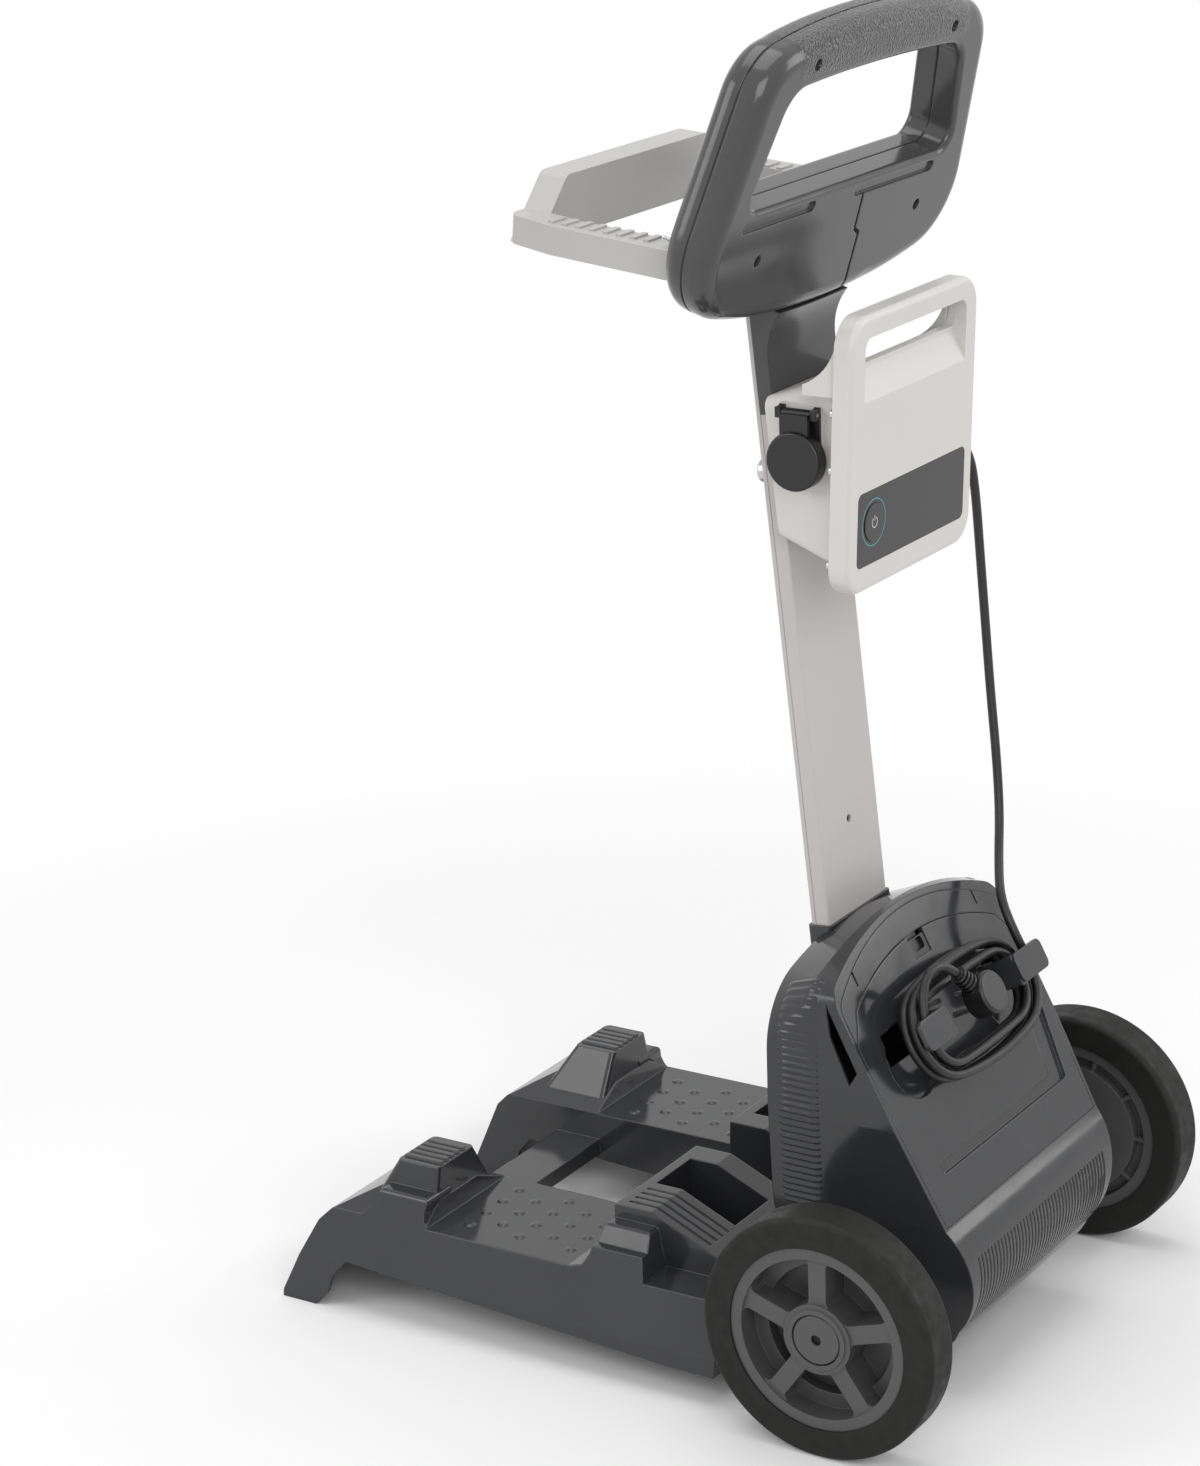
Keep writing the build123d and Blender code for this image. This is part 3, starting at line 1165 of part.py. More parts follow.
# Power supply: front cover with its grip slot, rear case, and what is in it
COVER_MID_T = (COVER_LOW + COVER_HIGH) / 2
POCKET_T = (-79.0, 46.0)
POCKET_HALF_X = 79.0
SEAL_W = 3.0
SEAL_T = 2.0
SUPPLY_SCREWS = [(sign * 91.5, t) for sign in (-1, 1) for t in (-74.0, 0.0, 44.0)]
STANDOFFS = [(sign * 60.0, t) for sign in (-1, 1) for t in (BOARD_T[0] + 6, BOARD_T[1] - 6)]
STANDOFF_R = 3.5
FACING = supply_plane().z_dir
SUPPLY_SIDE = Plane(origin=supply_plane().origin, x_dir=FACING, z_dir=(1, 0, 0))


def seal_ring(grow):
    """Outline of the seal between cover and case."""
    length, mid_t = span((CASE_REAR_T[0] - 1, CASE_REAR_T[1] + 1))
    with BuildSketch() as ring:
        with Locations((0, mid_t)):
            RectangleRounded(2 * (CASE_REAR_HALF_X + SEAL_W + grow), length + 2 * grow, 13)
            RectangleRounded(2 * (CASE_REAR_HALF_X - grow), length - 2 * (SEAL_W + grow), 10,
                             mode=Mode.SUBTRACT)
    return ring.sketch


with BuildPart() as supply_front_cover:
    with BuildSketch(supply_plane(0)):
        with Locations((0, COVER_MID_T)):
            RectangleRounded(2 * COVER_HALF_X, COVER_HIGH - COVER_LOW, COVER_R)
    extrude(amount=-COVER_DEPTH)
    fillet(supply_front_cover.faces().filter_by(GeomType.PLANE).sort_by_distance(
        supply_plane(WHEEL_D).origin)[0].edges(), 5)
    with BuildSketch(supply_plane(0)):
        with Locations((0, span(SLOT_T)[1])):
            RectangleRounded(2 * SLOT_HALF_X, span(SLOT_T)[0], 9)
    extrude(amount=-COVER_DEPTH, mode=Mode.SUBTRACT)
    with BuildSketch(SUPPLY_SIDE):
        with BuildLine():
            slot_low = SLOT_T[0]
            Polyline((1, 49), (1, slot_low + 8), (-9, slot_low + 8), (-9, slot_low - 4), (0, 52), close=True)
        make_face()
    extrude(amount=SLOT_HALF_X, both=True, mode=Mode.SUBTRACT)
    with BuildSketch(supply_plane(-COVER_DEPTH)):
        with Locations((0, span(POCKET_T)[1])):
            RectangleRounded(2 * POCKET_HALF_X, span(POCKET_T)[0], 8)
    extrude(amount=COVER_DEPTH - COVER_SKIN, mode=Mode.SUBTRACT)
    with BuildSketch(supply_plane(-COVER_SKIN)):
        with Locations(*STANDOFFS):
            Circle(STANDOFF_R)
    extrude(amount=-STANDOFF)
    with BuildSketch(supply_plane(0)):
        with Locations((0, span(DISPLAY_T)[1])):
            RectangleRounded(2 * (DISPLAY_HALF_X + FIT), span(DISPLAY_T)[0] + 2 * FIT, 6)
    extrude(amount=-DISPLAY_SKIN, mode=Mode.SUBTRACT)
    with BuildSketch(supply_plane(0)):
        with Locations((-BUTTON_X, BUTTON_T)):
            Circle(BUTTON_D / 2 + FIT)
    extrude(amount=-COVER_SKIN - 2, mode=Mode.SUBTRACT)
    with BuildSketch(supply_plane(-COVER_DEPTH)):
        add(seal_ring(0))
    extrude(amount=SEAL_T, mode=Mode.SUBTRACT)
    with BuildSketch(supply_plane(-COVER_DEPTH)):
        with Locations(*SUPPLY_SCREWS):
            Circle(SUPPLY_SCREW_D / 2)
    extrude(amount=COVER_DEPTH - 6, mode=Mode.SUBTRACT)
export(supply_front_cover.part, "supply_front_cover")

with BuildPart() as supply_seal:
    with BuildSketch(supply_plane(-COVER_DEPTH)):
        add(seal_ring(0))
    extrude(amount=SEAL_T)
export(supply_seal.part, "supply_seal")


def case_form(inset):
    """Tapered box between the post and the cover."""
    front_l, front_u = span(CASE_FRONT_U)
    rear_l, rear_t = span(CASE_REAR_T)
    with BuildPart() as form:
        with BuildSketch(post_face(CASE_POST_GAP + (3 if inset else 0))):
            with Locations((0, front_u)):
                RectangleRounded(2 * (CASE_FRONT_HALF_X - inset), front_l - 2 * inset, 9 - inset)
        with BuildSketch(supply_plane(-COVER_DEPTH)):
            with Locations((0, rear_t)):
                RectangleRounded(2 * (CASE_REAR_HALF_X - inset), rear_l - 2 * inset, 12 - inset)
        loft(ruled=True)
    return form.part


HINGE_X, HINGE_Z = CAP_HINGE
LUG_Y = CAP_STRAP_W / 2 + CAP_GAP


def across(x, y, z):
    """Plane facing +X at a place given with y from the axle."""
    return Plane(origin=(x, AXLE_Y + y, z), x_dir=(0, 1, 0), z_dir=(1, 0, 0))


with BuildPart() as supply_rear_case:
    add(case_form(0))
    with BuildSketch(supply_plane(-COVER_DEPTH)):
        with Locations((0, span((CASE_REAR_T[0] - 8, CASE_REAR_T[1] + 4))[1])):
            RectangleRounded(2 * LIP_HALF_X, span(CASE_REAR_T)[0] + 12, LIP_R)
    extrude(amount=-LIP_T)
    with BuildSketch(across(0, SOCKET_Y, SOCKET_Z)):
        Circle(SOCKET_PAD_D / 2)
    extrude(amount=SOCKET_PAD_X)
    with BuildSketch(across(0, GLAND_Y, GLAND_Z)):
        Circle(GLAND_BASE_D / 2 + 3)
    extrude(amount=-SOCKET_PAD_X - 5)
    add(block((CASE_FRONT_HALF_X - 6, SOCKET_PAD_X), (SOCKET_Y - SEAT_HALF_Y, SOCKET_Y + SEAT_HALF_Y),
              (SOCKET_Z, HINGE_Z + 5)))
    # cheeks that sweep up behind the cover, beside the grip slot
    for sign in (-1, 1):
        with BuildSketch(side_plane(sign * CHEEK_X[0])):
            with BuildLine():
                Polyline(CHEEK_TOP, *CHEEK_BACK, CHEEK_FRONT)
                ThreePointArc(CHEEK_FRONT, CHEEK_SWEEP, CHEEK_TOP)
            make_face()
        extrude(amount=sign * (CHEEK_X[1] - CHEEK_X[0]))
    add(case_form(CASE_SKIN), mode=Mode.SUBTRACT)
    with BuildSketch(across(0, SOCKET_Y, SOCKET_Z)):
        Circle(SOCKET_D / 2)
    extrude(amount=SOCKET_OUT_X, mode=Mode.SUBTRACT)
    with BuildSketch(across(0, GLAND_Y, GLAND_Z)):
        Circle(GLAND_BASE_D / 2)
    extrude(amount=-SOCKET_OUT_X, mode=Mode.SUBTRACT)
    # keyhole that hangs on the rail
    with BuildSketch(post_face(0)):
        slot = (RAIL_HEAD_U[0] - LIFT - 1, RAIL_HEAD_U[1] + FIT)
        with Locations((0, span(slot)[1])):
            Rectangle(2 * (RAIL_STEM_HALF_X + FIT), span(slot)[0])
        mouth = (RAIL_HEAD_U[0] - LIFT - 1, RAIL_HEAD_U[1] - LIFT + 1)
        with Locations((0, span(mouth)[1])):
            Rectangle(2 * (RAIL_HEAD_HALF_X + 1), span(mouth)[0])
    extrude(amount=STEM_END, mode=Mode.SUBTRACT)
    with BuildSketch(supply_plane(-COVER_DEPTH)):
        with Locations(*SUPPLY_SCREWS):
            Circle(SUPPLY_SCREW_D / 2)
    extrude(amount=-LIP_T - 1, mode=Mode.SUBTRACT)
export(supply_rear_case.part, "supply_rear_case")

with BuildPart() as supply_screws:
    with BuildSketch(supply_plane(-COVER_DEPTH - LIP_T)):
        with Locations(*SUPPLY_SCREWS):
            Circle(SUPPLY_SCREW_D)
    extrude(amount=-2.6)
    with BuildSketch(supply_plane(-COVER_DEPTH - LIP_T)):
        with Locations(*SUPPLY_SCREWS):
            Circle(SUPPLY_SCREW_D / 2)
    extrude(amount=COVER_DEPTH + LIP_T - 6)
export(supply_screws.part, "supply_screws")

with BuildPart() as control_panel:
    with BuildSketch(supply_plane(0)):
        with Locations((0, span(DISPLAY_T)[1])):
            RectangleRounded(2 * DISPLAY_HALF_X, span(DISPLAY_T)[0], 6)
        with Locations((-BUTTON_X, BUTTON_T)):
            Circle(BUTTON_D / 2 + FIT, mode=Mode.SUBTRACT)
    extrude(amount=-DISPLAY_SKIN)
export(control_panel.part, "control_panel")

with BuildPart() as power_button:
    with BuildSketch(supply_plane(0.8)):
        with Locations((-BUTTON_X, BUTTON_T)):
            Circle(BUTTON_D / 2)
    extrude(amount=-BUTTON_DEPTH - 0.8)
    fillet(power_button.edges().filter_by(GeomType.CIRCLE).sort_by(Axis.Y)[-1], 0.6)
export(power_button.part, "power_button")

BOARD_OFF = -COVER_SKIN - STANDOFF
with BuildPart() as button_switch:
    with BuildSketch(supply_plane(BOARD_OFF)):
        with Locations((-BUTTON_X, BUTTON_T)):
            Rectangle(7, 7)
    extrude(amount=4)
    with BuildSketch(supply_plane(BOARD_OFF + 4)):
        with Locations((-BUTTON_X, BUTTON_T)):
            Circle(2)
    extrude(amount=-BOARD_OFF - 4 - BUTTON_DEPTH - BUTTON_TRAVEL - FIT)
export(button_switch.part, "button_switch")

with BuildPart() as circuit_board:
    with BuildSketch(supply_plane(BOARD_OFF)):
        with Locations((0, span(BOARD_T)[1])):
            RectangleRounded(2 * BOARD_HALF_X, span(BOARD_T)[0], 3)
    extrude(amount=-BOARD_SKIN)
export(circuit_board.part, "circuit_board")

UNDER_BOARD = BOARD_OFF - BOARD_SKIN
with BuildPart() as transformer:
    with BuildSketch(supply_plane(UNDER_BOARD)):
        with Locations((24, -8)):
            RectangleRounded(52, 62, 3)
    extrude(amount=-30)
    with BuildSketch(supply_plane(UNDER_BOARD)):
        with Locations((24, -8)):
            RectangleRounded(64, 34, 6)
    extrude(amount=-26)
export(transformer.part, "transformer")

with BuildPart() as capacitors:
    with BuildSketch(supply_plane(UNDER_BOARD)):
        with Locations((-30, 22), (-30, -6)):
            Circle(11)
    extrude(amount=-30)
export(capacitors.part, "capacitors")

with BuildPart() as heat_sink:
    with BuildSketch(supply_plane(UNDER_BOARD)):
        with Locations((-34, -46)):
            Rectangle(50, 36)
    extrude(amount=-5)
    with BuildSketch(supply_plane(UNDER_BOARD - 5)):
        with Locations((-34, -46)):
            with GridLocations(8, 0, 6, 1):
                Rectangle(2, 36)
    extrude(amount=-16)
export(heat_sink.part, "heat_sink")

with BuildPart() as output_socket:
    with BuildSketch(across(SOCKET_PAD_X - 14, SOCKET_Y, SOCKET_Z)):
        Circle(SOCKET_D / 2)
    extrude(amount=SOCKET_OUT_X - SOCKET_PAD_X + 14)
    with BuildSketch(across(SOCKET_OUT_X, SOCKET_Y, SOCKET_Z)):
        Circle(SOCKET_BORE_D / 2)
    extrude(amount=-SOCKET_OUT_X + SOCKET_PAD_X - 10, mode=Mode.SUBTRACT)
    # hinge plate with the lugs of the cap
    with BuildSketch(across(SOCKET_PAD_X, SOCKET_Y, HINGE_Z)):
        with Locations((0, (SOCKET_Z - HINGE_Z + 5) / 2)):
            Rectangle(2 * (LUG_Y + LUG_T), HINGE_Z - SOCKET_Z + 5)
        Rectangle(2 * LUG_Y, 12, mode=Mode.SUBTRACT)
        with Locations((0, SOCKET_Z - HINGE_Z)):
            Circle(SOCKET_D / 2 - 1, mode=Mode.SUBTRACT)
    extrude(amount=HINGE_PLATE_T)
    for sign in (-1, 1):
        add(block((SOCKET_PAD_X, HINGE_X + 3.5),
                  sorted((SOCKET_Y + sign * LUG_Y, SOCKET_Y + sign * (LUG_Y + LUG_T))),
                  (HINGE_Z - 4, HINGE_Z + 4)))
    with BuildSketch(Plane(origin=(HINGE_X, AXLE_Y + SOCKET_Y, HINGE_Z), x_dir=(1, 0, 0), z_dir=(0, 1, 0))):
        Circle(CAP_PIN_D / 2)
    extrude(amount=LUG_Y + 2 * LUG_T, both=True, mode=Mode.SUBTRACT)
export(output_socket.part, "output_socket")

with BuildPart() as socket_pins:
    with BuildSketch(across(SOCKET_PAD_X - 10, SOCKET_Y, SOCKET_Z)):
        with PolarLocations(7, 3):
            Circle(1.5)
    extrude(amount=13)
export(socket_pins.part, "socket_pins")

CAP_IN_X = SOCKET_OUT_X + CAP_GAP
with BuildPart() as socket_cap:
    with BuildSketch(across(CAP_IN_X, SOCKET_Y, SOCKET_Z)):
        Circle(CAP_D / 2)
    extrude(amount=CAP_T)
    fillet(socket_cap.edges().filter_by(GeomType.CIRCLE).sort_by(Axis.X)[-1], 2)
    with BuildSketch(across(CAP_IN_X, SOCKET_Y, SOCKET_Z)):
        Circle(CAP_D / 2)
        Circle(SOCKET_D / 2 + 1.5, mode=Mode.SUBTRACT)
    extrude(amount=-6)
    add(block((CAP_IN_X - 1, CAP_IN_X + 3), (SOCKET_Y - CAP_STRAP_W / 2, SOCKET_Y + CAP_STRAP_W / 2),
              (SOCKET_Z + SOCKET_D / 2 + 2, HINGE_Z)))
    with BuildSketch(Plane(origin=(HINGE_X, AXLE_Y + SOCKET_Y, HINGE_Z), x_dir=(1, 0, 0), z_dir=(0, 1, 0))):
        Circle(CAP_BARREL_R)
    extrude(amount=CAP_STRAP_W / 2, both=True)
    with BuildSketch(Plane(origin=(HINGE_X, AXLE_Y + SOCKET_Y, HINGE_Z), x_dir=(1, 0, 0), z_dir=(0, 1, 0))):
        Circle(CAP_PIN_D / 2 + RUNNING)
    extrude(amount=CAP_STRAP_W, both=True, mode=Mode.SUBTRACT)
export(socket_cap.part, "socket_cap")

with BuildPart() as cap_hinge_pin:
    with BuildSketch(Plane(origin=(HINGE_X, AXLE_Y + SOCKET_Y, HINGE_Z), x_dir=(1, 0, 0), z_dir=(0, 1, 0))):
        Circle(CAP_PIN_D / 2)
    extrude(amount=LUG_Y + LUG_T, both=True)
export(cap_hinge_pin.part, "cap_hinge_pin")

with BuildPart() as cord_gland:
    with BuildSketch(across(-SOCKET_PAD_X + 16, GLAND_Y, GLAND_Z)):
        Circle(GLAND_BASE_D / 2)
    extrude(amount=-24)
    with BuildSketch(across(-SOCKET_PAD_X - 8, GLAND_Y, GLAND_Z)):
        Circle(GLAND_BASE_D / 2)
    with BuildSketch(across(GLAND_X, GLAND_Y, GLAND_Z)):
        Circle(GLAND_TIP_D / 2)
    loft()
export(cord_gland.part, "cord_gland")

# Cord: the drop from the supply, the coil on the hooks and the plug
COIL_HEAD = panel_point(-COIL_HALF_X, COIL_S + 2 * CORD_D, COIL_OUT)
DROP = [Vector(GLAND_X, AXLE_Y + GLAND_Y, GLAND_Z)]
DROP += [Vector(x, AXLE_Y + y, z) for x, y, z in (
    (-145, GLAND_Y, GLAND_Z), (-169, -76, 693), (-173, -73, 660), (-173, -69, 608), (-170, -63, 553),
    (-165, -56, 497), (-158, -47, 444), (-150, -40, 398), (-128, -30, 366), (-98, -14, 346))]
DROP += [panel_point(-COIL_HALF_X + 3, COIL_S + 38, COIL_OUT + 1.5), COIL_HEAD]


def bend_radii(points):
    """Radius at each inner point that uses 0.45 of the shorter run beside it."""
    radii = []
    for a, b, c in zip(points, points[1:], points[2:]):
        turn = radians((b - a).get_angle(c - b))
        radii.append(0.45 * min((b - a).length, (c - b).length) / tan(turn / 2))
    return radii


DROP_RADII = bend_radii(DROP)
print("drop radii in cord diameters", [round(r / CORD_D, 1) for r in DROP_RADII])
with BuildPart() as cord_drop:
    with BuildLine() as drop_path:
        FilletPolyline(*DROP, radius=DROP_RADII)
    with BuildSketch(Plane(origin=DROP[0], x_dir=(0, 1, 0), z_dir=DROP[1] - DROP[0])):
        Circle(CORD_D / 2)
    sweep()
export(cord_drop.part, "cord_drop")


def coil_stops():
    """Quarter points of the two layers, each with the cord's direction there."""
    quarters = 4 * COIL_TURNS
    slope = COIL_PITCH / (3.2 * (COIL_HALF_X + COIL_HALF_S))
    deepest = COIL_OUT - COIL_TURNS * COIL_PITCH
    stops = []
    for quarter in range(2 * quarters + 3):
        step = min(max(quarter - quarters, 0), 2) / 2
        half_x, half_s = COIL_HALF_X - LAYER_STEP[0] * step, COIL_HALF_S - LAYER_STEP[1] * step
        if quarter <= quarters:
            out, rise = COIL_OUT - COIL_PITCH * quarter / 4, -slope
        elif quarter <= quarters + 2:
            out, rise = deepest - (1.4 if quarter == quarters + 1 else 0.0), 0.0
        else:
            out, rise = deepest + COIL_PITCH * (quarter - quarters - 2) / 4, slope
        if quarter in (quarters, quarters + 2):
            rise = 0.0
        along = ((-1, 0), (0, -1), (1, 0), (0, 1))[quarter % 4]
        heading = ((0, -1), (1, 0), (0, 1), (-1, 0))[quarter % 4]
        spot = panel_point(along[0] * half_x, COIL_S + along[1] * half_s, out)
        way = Vector(heading[0], 0, 0) + PANEL_UP * heading[1] + PANEL_OUT * rise
        stops.append((spot, way.normalized()))
    return stops


def biarc_middle(p1, t1, p2, t2):
    """Where the two arcs of a biarc meet."""
    chord, both = p2 - p1, t1 + t2
    short = 2 * (1 - t1.dot(t2))
    reach = (-chord.dot(both) + sqrt(chord.dot(both) ** 2 + short * chord.dot(chord))) / short
    return (p1 + p2 + (t1 - t2) * reach) / 2


def panel_way(x, s, out):
    return (Vector(x, 0, 0) + PANEL_UP * s + PANEL_OUT * out).normalized()


END_GAP = 0.1
PLUG_WAY = panel_way(-0.66, -0.75, 0)
RELIEF_START = panel_point(27, 170, 38)
STOPS = coil_stops()
STOPS.append((RELIEF_START - PLUG_WAY * CORD_D, PLUG_WAY))
ARCS = []
with BuildPart() as cord_coil:
    with BuildLine() as coil_path:
        Line(COIL_HEAD, STOPS[0][0])
        for (p1, t1), (p2, t2) in zip(STOPS, STOPS[1:]):
            middle = biarc_middle(p1, t1, p2, t2)
            ARCS.append(TangentArc(p1, middle, tangent=t1))
            ARCS.append(TangentArc(middle, p2, tangent=-t2, tangent_from_first=False))
        Line(STOPS[-1][0], RELIEF_START - PLUG_WAY * END_GAP)
    with BuildSketch(Plane(origin=COIL_HEAD, x_dir=(1, 0, 0), z_dir=STOPS[0][0] - COIL_HEAD)):
        Circle(CORD_D / 2)
    sweep()
export(cord_coil.part, "cord_coil")


def least_gap(arcs, samples=12):
    """Least distance between arcs that are not neighbours along the cord, less its diameter."""
    rows = [[tuple(arc.position_at(i / samples)) for i in range(samples + 1)] for arc in arcs]
    return min(dist(p, q) for i in range(len(rows)) for j in range(i + 3, len(rows))
               for p in rows[i] for q in rows[j]) - CORD_D


print("coil length", round(sum(arc.length for arc in ARCS)), "least gap", round(least_gap(ARCS), 2))
print("tightest bend in cord diameters", round(min(arc.radius for arc in ARCS) / CORD_D, 1))


def plug_plane(along):
    """Plane across the plug, a distance along from the start of its strain relief."""
    return Plane(origin=RELIEF_START + PLUG_WAY * along, x_dir=PLUG_WAY.cross(PANEL_OUT), z_dir=PLUG_WAY)


def plug_face(out):
    """Plane of the plug's round body, a distance out from its middle."""
    return Plane(origin=PLUG_MIDDLE + PANEL_OUT * out, x_dir=PLUG_WAY, z_dir=PANEL_OUT)


PLUG_MIDDLE = RELIEF_START + PLUG_WAY * (RELIEF_L + PLUG_D / 2)
RING_STEP = RELIEF_L / (RELIEF_RINGS + 0.5)
with BuildPart() as plug_strain_relief:
    with BuildSketch(plug_plane(0)):
        Circle(CORD_D / 2 + 1.2)
    with BuildSketch(plug_plane(RELIEF_L)):
        Circle(RELIEF_D / 2)
    loft()
    for ring in range(RELIEF_RINGS):
        with BuildSketch(plug_plane((ring + 0.5) * RING_STEP)):
            Circle(RELIEF_D / 2 + 0.3 * ring)
        extrude(amount=RING_STEP / 2)
export(plug_strain_relief.part, "plug_strain_relief")

with BuildPart() as plug_body:
    with BuildSketch(plug_face(-PLUG_T / 2)):
        Circle(PLUG_D / 2)
    extrude(amount=PLUG_T)
    fillet(plug_body.edges().filter_by(GeomType.CIRCLE), 3)
    with BuildSketch(plug_plane(RELIEF_L)):
        Circle(PLUG_NECK_D / 2)
    extrude(amount=PLUG_D / 2)
export(plug_body.part, "plug_body")

with BuildPart() as plug_pins:
    with BuildSketch(plug_face(-PLUG_T / 2)):
        with Locations((0, -PIN_GAP / 2), (0, PIN_GAP / 2)):
            Circle(PIN_D / 2)
    extrude(amount=-PIN_L)
export(plug_pins.part, "plug_pins")
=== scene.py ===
"""Dresses the pool robot caddy: finishes, cord, housing ribs, film marks and the stage."""

from math import atan2, cos, pi, radians, sin

import bmesh
import bpy
from bpy.props import FloatProperty, FloatVectorProperty, IntProperty, PointerProperty
from mathutils import Matrix, Vector
from mathutils.bvhtree import BVHTree


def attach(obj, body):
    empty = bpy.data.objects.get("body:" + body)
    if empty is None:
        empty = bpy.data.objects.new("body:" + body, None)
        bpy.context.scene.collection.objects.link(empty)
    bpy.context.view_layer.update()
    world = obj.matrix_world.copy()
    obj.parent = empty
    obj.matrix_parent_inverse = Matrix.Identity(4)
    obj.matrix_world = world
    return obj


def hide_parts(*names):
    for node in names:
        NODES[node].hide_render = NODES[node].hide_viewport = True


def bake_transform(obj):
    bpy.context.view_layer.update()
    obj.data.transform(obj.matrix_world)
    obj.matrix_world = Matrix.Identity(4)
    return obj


bl_info = {
    "name": "Pool robot caddy",
    "version": (1, 0, 0),
    "blender": (4, 5, 0),
    "location": "View3D > Sidebar > Caddy",
    "description": "Dresses the wheeled caddy of a pool robot and its power supply",
    "category": "Object",
}

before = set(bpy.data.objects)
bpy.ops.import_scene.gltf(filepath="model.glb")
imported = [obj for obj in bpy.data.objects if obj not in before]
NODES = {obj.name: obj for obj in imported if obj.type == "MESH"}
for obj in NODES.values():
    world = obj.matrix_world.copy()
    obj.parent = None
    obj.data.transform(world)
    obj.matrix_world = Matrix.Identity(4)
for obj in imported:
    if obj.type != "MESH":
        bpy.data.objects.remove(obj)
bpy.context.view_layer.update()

AXLE_Y = 0.216
PANEL_FOOT = Vector((0.0, AXLE_Y + 0.0567, 0.1581))
PANEL_LEAN = radians(28.0)
PANEL_UP = Vector((0.0, -sin(PANEL_LEAN), cos(PANEL_LEAN)))
PANEL_OUT = Vector((0.0, cos(PANEL_LEAN), sin(PANEL_LEAN)))
SUPPLY_LEAN = radians(2.5)
SUPPLY_FOOT = Vector((0.0, AXLE_Y - 0.038, 0.740))
# middle of the power button, in the supply's frame
BUTTON_SPOT = Vector((-0.0615, -0.044, 0.0))
FULL_TURN = 2 * pi
# an arc that bends aside by less than this is drawn as a straight line
STRAIGHT = 1e-7

# the cord's coil on the rear panel: its middle up the panel, and its first turn out of it
COIL_MIDDLE = 0.136
COIL_OUT = 0.027
# how far the crossing to the inner turns dips below the deepest turn
COIL_DIP = 0.0014
# an oval turn's length over the sum of its half width and half height, a little above pi
OVAL_LENGTH = 3.2
BEND_POINTS = 3
CORD_END_GAP = 0.0001

SENSOR_HEIGHT = 24.0
CAMERA_SPOT = Vector((2.52250, 1.51162, 1.44897))
CAMERA_AIM = Vector((0.0, -0.11646, 0.46705))
LAMP_AIM = Vector((0.0, 0.1, 0.45))
# name, place, side of the square and power in watts
LAMPS = (
    ("key", (3.0, 2.6, 2.4), 2.4, 60.0),
    ("left fill", (2.8, -2.6, 2.2), 2.0, 36.0),
    ("right fill", (-2.6, 2.8, 2.0), 2.0, 34.0),
    ("top", (0.0, 0.0, 3.6), 2.4, 38.0),
)
WORLD_LIGHT = 0.55
# from the middle of the floor: where it starts to fade out, and where it is gone
FLOOR_FADE = (0.7, 1.5)

# the part of a noise's range that is spread over a colour or a roughness
NOISE_SPAN = (0.3, 0.7)
# moulded plastic: how far its colour wanders, and how deep and how fine its peel is
SHADE_DEPTH = 0.06
PEEL = 0.00003
PEEL_SCALE = 420.0
# roughness at the glossiest and the dullest spots
SLATE_GLOSS = (0.09, 0.17)
HANDLE_GLOSS = (0.12, 0.20)
SATIN_GLOSS = (0.30, 0.42)
PRINT_GLOSS = (0.3, 0.4)
# radii that soften edges in the shading
SHELL_EDGE = 0.0016
RIM_EDGE = 0.0012
# the handle's stipple: heights where it starts and is full, then distances from the middle
# where it starts to fade and is gone
GRIP_Z = (1.034, 1.044)
GRIP_X = (0.122, 0.134)
STIPPLE_SCALE = 400.0
STIPPLE_DEPTH = 0.0011

BLACKENED = (0.03, 0.03, 0.03)
BRASS = (0.72, 0.52, 0.24)
COPPER = (0.62, 0.30, 0.16)
BOARD_GREEN = (0.02, 0.11, 0.05)
PALE_PRINT = (0.55, 0.56, 0.56)
FLOOR_WHITE = (0.93, 0.93, 0.93)


def colour(name, description, value):
    return FloatVectorProperty(
        name=name, description=description, subtype="COLOR", size=3, min=0.0, max=1.0, default=value
    )


def length(name, description, value):
    return FloatProperty(
        name=name, description=description, subtype="DISTANCE", unit="LENGTH", default=value
    )


class CaddyColours(bpy.types.PropertyGroup):
    """Colours of the caddy's finishes."""

    slate: colour("Slate plastic", "Moulded housing and platform", (0.0290, 0.0298, 0.0325))
    handle: colour("Handle plastic", "The handle's two shells", (0.058, 0.0580, 0.0595))
    rim: colour("Rim plastic", "Wheel rims and axle caps", (0.066, 0.066, 0.067))
    black: colour("Black plastic", "Latch, bushes, socket, gland and plug", (0.008, 0.008, 0.0085))
    rubber: colour("Tyre rubber", "Tyres", (0.0085, 0.0082, 0.0076))
    post: colour("Post", "Coated aluminium post", (0.520, 0.500, 0.493))
    cradle: colour("Cradle", "Grey cable cradle", (0.470, 0.464, 0.458))
    supply: colour("Supply", "White case of the power supply", (0.660, 0.645, 0.625))
    film: colour("Control film", "Dark film over the supply's controls", (0.0060, 0.0050, 0.0050))
    mark: colour("Mark", "Ring round the power button", (0.060, 0.330, 0.320))
    cord: colour("Cord", "Rubber jacket of the cord", (0.007, 0.007, 0.007))
    steel: colour("Steel", "Screws, bolts, nuts, rail and pins", (0.560, 0.560, 0.570))


class CaddyCord(bpy.types.PropertyGroup):
    """Sizes of the cord that hangs from the supply."""

    diameter: length("Diameter", "Outside of the jacket", 0.0076)
    half_width: length("Coil half width", "Half the outer turns' width", 0.093)
    half_height: length("Coil half height", "Half the outer turns' height", 0.0425)
    pitch: length("Pitch", "From one turn to the next", 0.0086)
    layer_width: length("Layer step across", "Inner turns narrower by, on each side", 0.011)
    layer_height: length("Layer step up", "Inner turns lower by, on each side", 0.0125)
    turns: IntProperty(
        name="Turns", description="Whole turns in each of the two layers", default=2, min=1
    )


